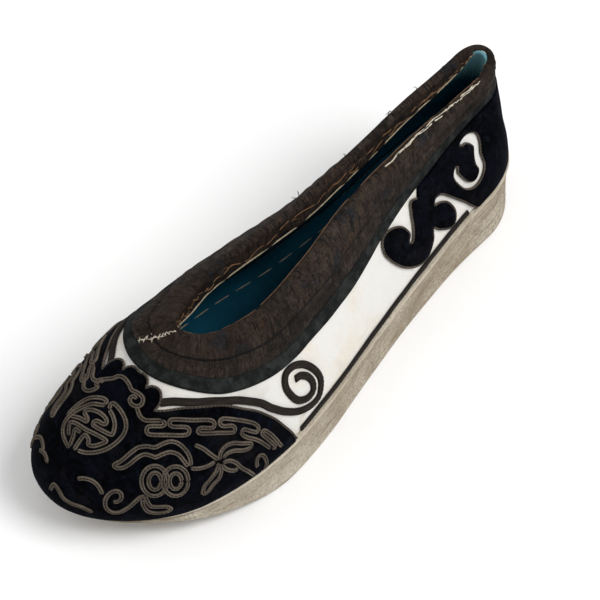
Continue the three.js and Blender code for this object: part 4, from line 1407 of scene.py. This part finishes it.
def edge_cords():
    """Thin cords sewn along the cut edges of the velvet."""
    line = cap_line()
    line[:, 1] = np.clip(line[:, 1], 0.005, below_band(line[:, 0], 0.6))
    parts = [edge_cord(line, 0.7)]
    opening = shares_from_side(curl_outline(CURL_CORD_GAP))
    for shares in (counter_line(), np.concatenate([opening, opening[:1]])):
        for placed in (shares, other_side(shares)):
            parts.append(edge_cord(placed, 0.5))
    return joined("velvet_edge_cords", parts)


class CLOTHSHOE_OT_braids(bpy.types.Operator):
    """Builds the braid tendrils and the braids along the foot line"""
    bl_idname = "clothshoe.braids"
    bl_label = "Braids"

    def execute(self, context):
        material = made(context, braid_material)
        tendril = smooth_path(np.stack([TENDRIL["round"], TENDRIL["rise"]], -1), 12)
        around = np.linspace(*FOOT_BRAID_ENDS, 60)
        straight = np.stack([around, FOOT_BRAID_RISE / wall_length(around)], -1)
        for name, path in (("tendril", tendril), ("foot_braid", straight)):
            for side, shares in (("left", path), ("right", mirrored(path))):
                points, normal = on_wall_line(even_on_wall(shares, BRAID_STEP), CLEARANCE / 2)
                obj = joined(f"{name}_cloth_{side}", [sweep(points, normal, braid_profile(len(points)))])
                settle(obj, material, "braid", f"{name}_{side}")
        return {"FINISHED"}


def braid_profile(count):
    """Flat section with rounded edges whose strands rise in chevrons: across and up at each step."""
    across = np.linspace(-1, 1, 13)
    height = BRAID_THICKNESS * np.sqrt(1 - np.abs(across) ** 4) * 0.95 + 0.15
    top = np.stack([across[::-1], height], -1)
    under = np.stack([across, np.zeros(13)], -1)
    profile = np.concatenate([under[1:-1], top]) * [BRAID_WIDTH / 2, 1.0]
    run = np.arange(count)[:, None] * BRAID_STEP
    strand = 0.09 * np.sin((run + np.abs(profile[None, :, 0]) * 1.1) * 2 * np.pi / 1.6)
    body = np.broadcast_to(profile, (count,) + profile.shape).copy()
    body[..., 1] += strand * (profile[None, :, 1] > 0.3)
    return body


# Couched cord motifs on the toe cap: pixels of the photograph along the middle of each pair of cords.
# Those marked "both" are repeated on the other side of the shoe; the round medallion lies over the ridge.
MOTIFS = {
    "medallion_ring_left": ("one", (
        (87, 337.4), (84, 337.3), (78, 337), (72, 339.6), (66, 343), (61.5, 347), (58.3, 352),
        (57.3, 358), (58.8, 364), (62.5, 370.2))),
    "medallion_ring_top": ("one", (
        (86.5, 337), (87.8, 334.2), (85, 332.4), (79, 332.2), (73.5, 334), (67.5, 338.2), (62.5, 343.2),
        (60, 347))),
    "medallion_ring_right": ("one", (
        (90.2, 340.4), (91, 337), (93.2, 335.8), (98, 340), (102, 346), (103.6, 352), (102, 358.2),
        (97.5, 364), (91, 369), (83, 372.2), (75, 373), (68.5, 371.6))),
    "medallion_inner_right": ("one", (
        (90.2, 340.4), (93.6, 346), (95.2, 352), (94.2, 357.8), (92.5, 358.8), (87, 356.6), (80, 353),
        (79.2, 351), (81.5, 349.2), (87, 351.5), (89, 350), (88, 347), (84, 343.6), (79, 341.6),
        (75, 341.6), (72.6, 343.8), (74.6, 347.4), (74, 350), (69, 347.8), (62.5, 346.6))),
    "medallion_bar": ("one", (
        (61.8, 361.2), (61.6, 355), (62.8, 351.4), (67, 352), (74, 356), (82, 359.4), (89.4, 363.4),
        (86, 366), (80.5, 367.8), (76.6, 367), (76.4, 363), (73.6, 360), (70.2, 364.2), (66, 371.4))),
    "medallion_spur": ("one", (
        (70.6, 358.6), (66.4, 356.2), (65.2, 361), (62.8, 368.6))),
    "cloud_arch": ("one", (
        (82.2, 323), (80.2, 322.4), (82, 319.6), (87, 318.4), (92, 317.6), (96.5, 315.8), (100.6, 317),
        (104, 321), (106.2, 325.2), (111, 327.4), (114.6, 331), (114, 335.4), (110.6, 337.2),
        (106.6, 335.8), (105, 332.4), (107.4, 329.8), (110.4, 331.6))),
    "cloud_stem": ("both", (
        (110.6, 337.4), (111.8, 341.2), (114, 345), (118, 347.2), (124, 347), (129.5, 346.8))),
    "cloud_far_hook": ("one", (
        (82.2, 323), (79.5, 326), (74.5, 327.6), (71.2, 325.6), (71.4, 320), (73, 314.5))),
    "fret_1": ("both", (
        (129.5, 346.8), (132, 348.8), (130, 350.8), (121, 351.4), (118.8, 354.4), (121.4, 357.4),
        (134, 357.2), (147, 356.6), (150.2, 353.6), (147.6, 350.8), (137.6, 350.8), (135.4, 348),
        (138, 345.6), (152, 345.4), (165, 344.8), (168.4, 347.4), (166.4, 350.4), (158.6, 350.8),
        (156.6, 353), (159, 354.8), (172, 353.8), (182, 353.2), (184, 350.6), (181.6, 348.2),
        (174.6, 348.6), (172.2, 346), (174.8, 343.2), (186, 343.8), (197, 345.6), (201.4, 348.4),
        (200.4, 352), (196.4, 351.8), (190.6, 350.6), (189.2, 353.6), (192.4, 356), (202, 358.4),
        (211, 363.6))),
    "fret_end": ("both", (
        (219, 361.6), (212.4, 354.6), (206.4, 350.8), (204.4, 353.2), (209.6, 357.6), (214.2, 361.6),
        (212.8, 364.8))),
    "leaf": ("both", (
        (152.6, 379), (151.4, 372.6), (147.6, 367), (142.6, 363), (137, 361.8), (131.4, 363.6),
        (125.6, 366.6), (119.4, 366.2), (113, 367.6), (107.4, 372), (101.4, 377.6), (96.2, 381),
        (98, 383), (103, 382.6), (108.4, 379), (113, 374.8), (118, 372.2), (122.4, 372.8), (126.4, 373.8),
        (131.4, 371.4), (137, 369.6), (142.6, 371), (146.8, 375), (150.4, 379.6))),
    "flower_stem": ("both", (
        (152.4, 380.8), (158, 380.6), (164.4, 378.8), (170.4, 375.2))),
    "flower_left": ("both", (
        (154.6, 363.4), (160.8, 365.8), (167, 370), (172.6, 373.6))),
    "flower_top": ("both", (
        (173.4, 374), (174.2, 368.4), (177.6, 363.6), (183, 361), (190, 360.8), (195.6, 360.4),
        (196.2, 363), (191.4, 365.6), (184, 366.4), (179, 368.8), (176, 372.4))),
    "flower_right": ("both", (
        (176, 375.6), (181, 373.8), (186, 375.4), (190, 378.6), (195, 381), (199.4, 383.6))),
    "flower_low_right": ("both", (
        (175.4, 377.4), (179, 380.2), (184.4, 380.8), (187.4, 378.6))),
    "flower_foot": ("both", (
        (173.2, 376), (171.4, 382), (167.4, 388), (163.4, 393), (162.4, 398.2), (165.4, 397.6),
        (169.4, 392), (173.6, 387), (175, 381.6), (174.2, 377))),
    "small_curl": ("both", (
        (206.4, 379.4), (208.4, 374), (206.4, 369.4), (203, 369.6), (201.2, 373), (201.6, 377.8))),
    "spiral_tail": ("both", (
        (69.4, 392.4), (75, 392), (81, 393.6), (85.6, 397.6), (88.8, 403))),
    "spiral": ("both", (
        (96.4, 407.6), (99.4, 407.8), (102.4, 405.4), (102, 401.6), (98.4, 400), (94, 402), (91, 406.6),
        (91.4, 412), (95.6, 415.4), (101.4, 415.4), (107.6, 412), (112.6, 407.4), (116.4, 403.8),
        (120, 402.4))),
    "low_leaf": ("both", (
        (120, 402.4), (121.8, 406.4), (124.6, 409.8), (130, 410), (136, 409.6), (139.4, 411.2),
        (136, 413.4), (129, 414.6), (122.6, 413.6), (119, 409.6), (118, 405))),
    "left_wave": ("one", (
        (50, 401.6), (52.4, 397.4), (56, 401), (60, 407), (66, 410.6), (74, 413), (82, 416.4))),
    "left_hook": ("one", (
        (40.6, 372.4), (44, 374.4), (46, 378), (46.6, 382))),
    "coin_left_outer": ("both", (126.4, 391.2, 9.6, 11.0)),
    "coin_left_inner": ("both", (126.6, 391.4, 4.6, 6.2)),
    "coin_right_outer": ("both", (141.8, 390.6, 9.4, 10.8)),
    "coin_right_inner": ("both", (141.8, 390.6, 4.4, 5.8)),
}


def oval(centre_x, centre_y, half_wide, half_tall):
    """Points of an oval in the photograph's plane."""
    angle = np.arange(OVAL_STEPS + 1) * 2 * np.pi / OVAL_STEPS
    return np.stack([centre_x + half_wide * np.cos(angle), centre_y + half_tall * np.sin(angle)], -1)


def couple_profile(count, width):
    """Two round cords side by side, drawn down where a stitch crosses them and pointed at the ends."""
    across = np.linspace(-1, 1, 13)
    hump = np.sqrt(np.clip(1 - ((np.abs(across) - 0.5) / 0.5) ** 2, 0, 1))
    top = np.stack([across, hump], -1)[::-1]
    under = np.array([[-0.6, -0.15], [0.0, -0.15], [0.6, -0.15]])
    aside, high = np.concatenate([under, top]).T[:, None]
    run = np.arange(count)[:, None] * COUPLE_STEP
    beat = np.mod(run, COUCHING_STEP)
    stitch = np.exp(-((beat / 0.22) ** 2)) + np.exp(-(((beat - COUCHING_STEP) / 0.22) ** 2))
    ends = np.sqrt(np.clip((np.minimum(run, run[::-1]) + 0.2) / 1.0, 0, 1))
    drawn = np.where(high > 0, high * COUPLE_HEIGHT * (1 - 0.22 * stitch), -0.15)
    return np.stack([aside * width / 2 * ends, drawn * ends], -1)


class CLOTHSHOE_OT_embroidery(bpy.types.Operator):
    """Couches the pairs of cords on the toe cap"""
    bl_idname = "clothshoe.embroidery"
    bl_label = "Embroidery"

    def execute(self, context):
        width = context.scene.cloth_shoe.cord_width / MM
        lift = CLEARANCE + VELVET_THICKNESS
        parts = []
        for form, line in MOTIFS.values():
            pixels = smooth_path(oval(*line), 4) if np.ndim(line[0]) == 0 else smooth_path(line, 8)
            shares = shares_from_photo(pixels, lift)
            shares[:, 1] = np.clip(shares[:, 1], *MOTIF_RISE)
            for placed in (shares, mirrored(shares))[: 2 if form == "both" else 1]:
                points, normal = on_wall_line(even_on_wall(placed, COUPLE_STEP), lift)
                parts.append(sweep(points, normal, couple_profile(len(points), width)))
        settle(joined("toe_cap_embroidery", parts), made(context, cord_material), "braid")
        return {"FINISHED"}


class CLOTHSHOE_OT_threads(bpy.types.Operator):
    """Adds the lining's tan edge, the insole's stitches, the lip's piping, frayed threads and torn fibres"""
    bl_idname = "clothshoe.threads"
    bl_label = "Threads"

    def execute(self, context):
        for name, parts, thread_name, slot in (
                ("lining_edge_cord", lining_edge(), "tan_thread", "insole_cloth"),
                ("insole_stitches", insole_stitches(), "tan_thread", "insole_cloth"),
                ("lip_piping", lip_piping(), "brown_thread", "binding_satin"),
                ("frayed_threads", frayed_threads(), "rust_thread", "binding_satin"),
                ("torn_fibres", torn_fibres(), "pale_thread", "binding_satin"),
                ("loose_threads", loose_threads(), "dark_thread", "binding_satin")):
            settle(joined(name, parts), made(context, thread_material, thread_name), slot)
        return {"FINISHED"}


def hanging_points(around, share, away):
    """Points on the satin that hangs inside the mouth: share of its drop, distance towards the middle."""
    point, _ = wall(around, 1.0, lip_inside(around))
    out = plan_outward(around)
    inward = out * (flare(around) * share + away)[:, None]
    return bent(point - inward - UP * (turn_in(side_of(around)[0]) * share)[:, None]), -out


def thread(points, normal, radius):
    """Thin round thread along points, pointed at its ends."""
    k = np.arange(len(points))
    taper = np.clip((np.minimum(k, k[::-1]) + 0.4) / 2.0, 0, 1)
    return sweep(points, normal, circle(radius, 6)[None] * taper[:, None, None])


def thread_on_wall(around, drop, lift, radius):
    """Thread that lies a drop below the topline, lifted off the wall."""
    point, normal = wall(around, rise_at(around, drop), lift)
    return thread(bent(point), normal, radius)


def lining_edge():
    """Folded tan edge of the lining just below the hanging satin, all round but the heel peak."""
    around = np.linspace(0.07, 1.93, 700)
    a = around * ROUND_LENGTH
    sag = 0.15 + 0.3 * (0.25 * np.sin(a / 6.0) + 0.2 * np.sin(a / 2.3))
    points, normal = hanging_points(around, 1.0 + 0 * around, 0.1 + 0 * around)
    return [thread(points - UP * sag[:, None], normal, radius=0.34)]


def insole_stitches():
    """Running stitches along the edge of the insole: long stitches with short gaps."""
    parts = []
    for start in np.arange(0.06, 1.94, STITCH_ROUND + STITCH_GAP):
        around = np.linspace(start, start + STITCH_ROUND, 8)
        plan = foot_plan(around)
        edge = plan - plan_outward(around)[:, :2] * (INSOLE_INSET + STITCH_INSET)
        z = sole_top(plan[:, 0]) + CLEARANCE + INSOLE_THICKNESS + 0.12
        points = bent(np.column_stack([edge, z]))
        parts.append(thread(points, np.broadcast_to(UP, points.shape), radius=0.30))
    return parts


def lip_piping():
    """Thin rubbed edge of the lip, broken where the satin is whole."""
    parts = []
    for start, end in RUBBED_LIP:
        around = np.linspace(start, end, 90)
        a = around * ROUND_LENGTH
        waver = 0.15 * np.sin(a / 3.1) + 0.1 * np.sin(a / 1.3)
        parts.append(thread_on_wall(around, -(1.9 + 0.4 * waver), -1.4 + waver, radius=0.27))
    return parts


def frayed_threads():
    """Broken rust-brown threads that follow the middle of the hanging satin in overlapping lengths."""
    parts = []
    random = np.random.default_rng(7)
    for side in (0, 1):
        for start in np.arange(0.12, 0.9, 0.017):
            around = np.linspace(start, start + random.uniform(0.010, 0.030), 16)
            a = around * ROUND_LENGTH
            wobble = 0.16 * np.sin(a / random.uniform(1.2, 3.5) + random.uniform(0, 6))
            share = np.clip(0.40 + 0.30 * random.uniform(-1, 1) + wobble, 0.02, 0.95)
            placed = around if side == 0 else 2 - around
            points, normal = hanging_points(placed, share, 0.45 + 0.25 * np.sin(a / 3.0))
            parts.append(thread(points, normal, random.uniform(0.14, 0.24)))
    return parts


def torn_fibres():
    """Pale fibres across the tear that runs down from the throat, and the worn edge of the near rear lip."""
    parts = []
    random = np.random.default_rng(11)
    outside = CLEARANCE + BINDING_THICKNESS
    for share in np.linspace(0, 1, 22):
        middle = 1.008 + 0.060 * share + random.uniform(-0.004, 0.004)
        turn = random.uniform(-0.9, 0.9)
        reach = random.uniform(1.6, 4.0)
        t = np.linspace(-0.5, 0.5, 9)
        around = middle + t * reach * math.cos(turn) / LIP_LENGTH
        drop = 0.6 + 13.0 * share + t * reach * math.sin(turn)
        lift = outside + 0.1 + 0.9 * random.uniform(0.2, 1) * (1 - (2 * t) ** 2)
        parts.append(thread_on_wall(around, drop, lift, radius=0.16))
    for start in np.arange(0.225, 0.42, 0.0065):
        around = np.linspace(start, start + random.uniform(0.006, 0.022), 14)
        angle = np.radians(random.uniform(98, 132)) + 0.10 * np.sin(around * ROUND_LENGTH / 1.7)
        within = lip_inside(around)
        radius = (outside - within) / 2
        lift = (outside + within) / 2 - (radius + 0.1) * np.cos(angle)
        drop = -CLEARANCE - (radius * LIP_ROUND + 0.1) * np.sin(angle)
        parts.append(thread_on_wall(around, drop, lift, random.uniform(0.16, 0.30)))
    return parts


# Loose ends on the far lip: wall share, length in millimetres and the turn of the end
LOOSE_ENDS = {
    "round": (1.47, 1.475, 1.63, 1.64, 1.69, 1.75, 1.33, 1.55, 1.08, 1.06, 0.35, 1.20),
    "length": (6.5, 4.5, 5.0, 3.5, 4.5, 3.0, 4.0, 3.5, 6.0, 4.5, 3.0, 3.5),
    "turn": (0.5, -0.3, 0.9, -0.6, 0.2, 1.0, -0.8, 0.4, -0.5, 0.7, 0.3, -0.2),
}


def loose_threads():
    """Short dark ends that stand out from the lip and droop."""
    parts = []
    t = np.linspace(0, 1, 14)
    for start, length, turn in zip(*LOOSE_ENDS.values()):
        around = start + t * length * math.sin(turn) / LOOSE_LENGTH
        lift = 0.9 + length * 0.55 * t * math.cos(turn)
        drop = -0.6 - 1.2 * np.sin(np.pi * t) + 2.5 * t**2
        points = bent(wall(around, rise_at(around, drop), lift)[0])
        parts.append(thread(points, np.broadcast_to(UP, points.shape), radius=0.17))
    return parts


class CLOTHSHOE_OT_stage(bpy.types.Operator):
    """Sets the floor, the soft studio lights and the camera at the photograph's angle"""
    bl_idname = "clothshoe.stage"
    bl_label = "Stage"

    def execute(self, context):
        self.floor()
        self.lights(context)
        self.camera(context)
        return {"FINISHED"}

    def floor(self):
        points = np.array([[-1, -1, 0], [1, -1, 0], [1, 1, 0], [-1, 1, 0]]) * FLOOR_HALF
        obj = make_object("floor", points, np.array([[0, 1, 2, 3]]))
        material = bpy.data.materials.new("pale_floor")
        material.use_nodes = True
        shader = material.node_tree.nodes["Principled BSDF"]
        shader.inputs["Base Color"].default_value = (0.93, 0.93, 0.93, 1)
        shader.inputs["Roughness"].default_value = 0.9
        obj.data.materials.append(material)

    def lights(self, context):
        world = bpy.data.worlds.new("studio")
        context.scene.world = world
        world.use_nodes = True
        background = world.node_tree.nodes["Background"]
        background.inputs["Color"].default_value = (1, 1, 1, 1)
        background.inputs["Strength"].default_value = WORLD_STRENGTH
        for name, (place, size, watts) in LIGHTS.items():
            data = bpy.data.lights.new(name, "AREA")
            data.size = size
            data.energy = watts
            lamp = bpy.data.objects.new(name, data)
            lamp.location = place
            lamp.rotation_euler = (-Vector(place)).to_track_quat("-Z", "Y").to_euler()
            context.scene.collection.objects.link(lamp)

    def camera(self, context):
        ground = np.array([0.0, -PHOTO_DISTANCE * math.cos(PHOTO_ELEVATION)]) - PHOTO_HEEL
        high = PHOTO_DISTANCE * math.sin(PHOTO_ELEVATION)
        place = np.array([ground @ PHOTO_TOE, ground @ PHOTO_LEFT, high]) + SHIFT
        data = bpy.data.cameras.new("camera")
        data.sensor_width = 36.0
        data.lens = 36.0 * PHOTO_SCALE * PHOTO_DISTANCE * CLOSE_UP / (2 * PHOTO_CENTRE)
        data.clip_end = 20.0
        camera = bpy.data.objects.new("camera", data)
        camera.location = Vector(place * MM)
        aim = Vector(AIM) * MM
        camera.rotation_euler = (aim - camera.location).to_track_quat("-Z", "Y").to_euler()
        context.scene.collection.objects.link(camera)
        context.scene.camera = camera
        context.scene.view_settings.view_transform = "Standard"


class CLOTHSHOE_PT_panel(bpy.types.Panel):
    """Sidebar panel with the colours and the build steps"""
    bl_idname = "CLOTHSHOE_PT_panel"
    bl_label = "Cloth shoe"
    bl_space_type = "VIEW_3D"
    bl_region_type = "UI"
    bl_category = "Cloth shoe"

    def draw(self, context):
        looks = context.scene.cloth_shoe
        for name in looks.__annotations__:
            self.layout.prop(looks, name)
        for operator in OPERATORS:
            self.layout.operator(operator.bl_idname)


OPERATORS = (CLOTHSHOE_OT_sole, CLOTHSHOE_OT_upper, CLOTHSHOE_OT_collar, CLOTHSHOE_OT_velvet,
             CLOTHSHOE_OT_braids, CLOTHSHOE_OT_embroidery, CLOTHSHOE_OT_threads, CLOTHSHOE_OT_stage)
CLASSES = (ClothShoeLooks,) + OPERATORS + (CLOTHSHOE_PT_panel,)


def register():
    for cls in CLASSES:
        bpy.utils.register_class(cls)
    bpy.types.Scene.cloth_shoe = bpy.props.PointerProperty(type=ClothShoeLooks)


def unregister():
    del bpy.types.Scene.cloth_shoe
    for cls in reversed(CLASSES):
        bpy.utils.unregister_class(cls)


def main():
    register()
    bpy.ops.clothshoe.sole()
    bpy.ops.clothshoe.upper()
    bpy.ops.clothshoe.collar()
    bpy.ops.clothshoe.velvet()
    bpy.ops.clothshoe.braids()
    bpy.ops.clothshoe.embroidery()
    bpy.ops.clothshoe.threads()
    bpy.ops.clothshoe.stage()


if __name__ == "__main__":
    main()
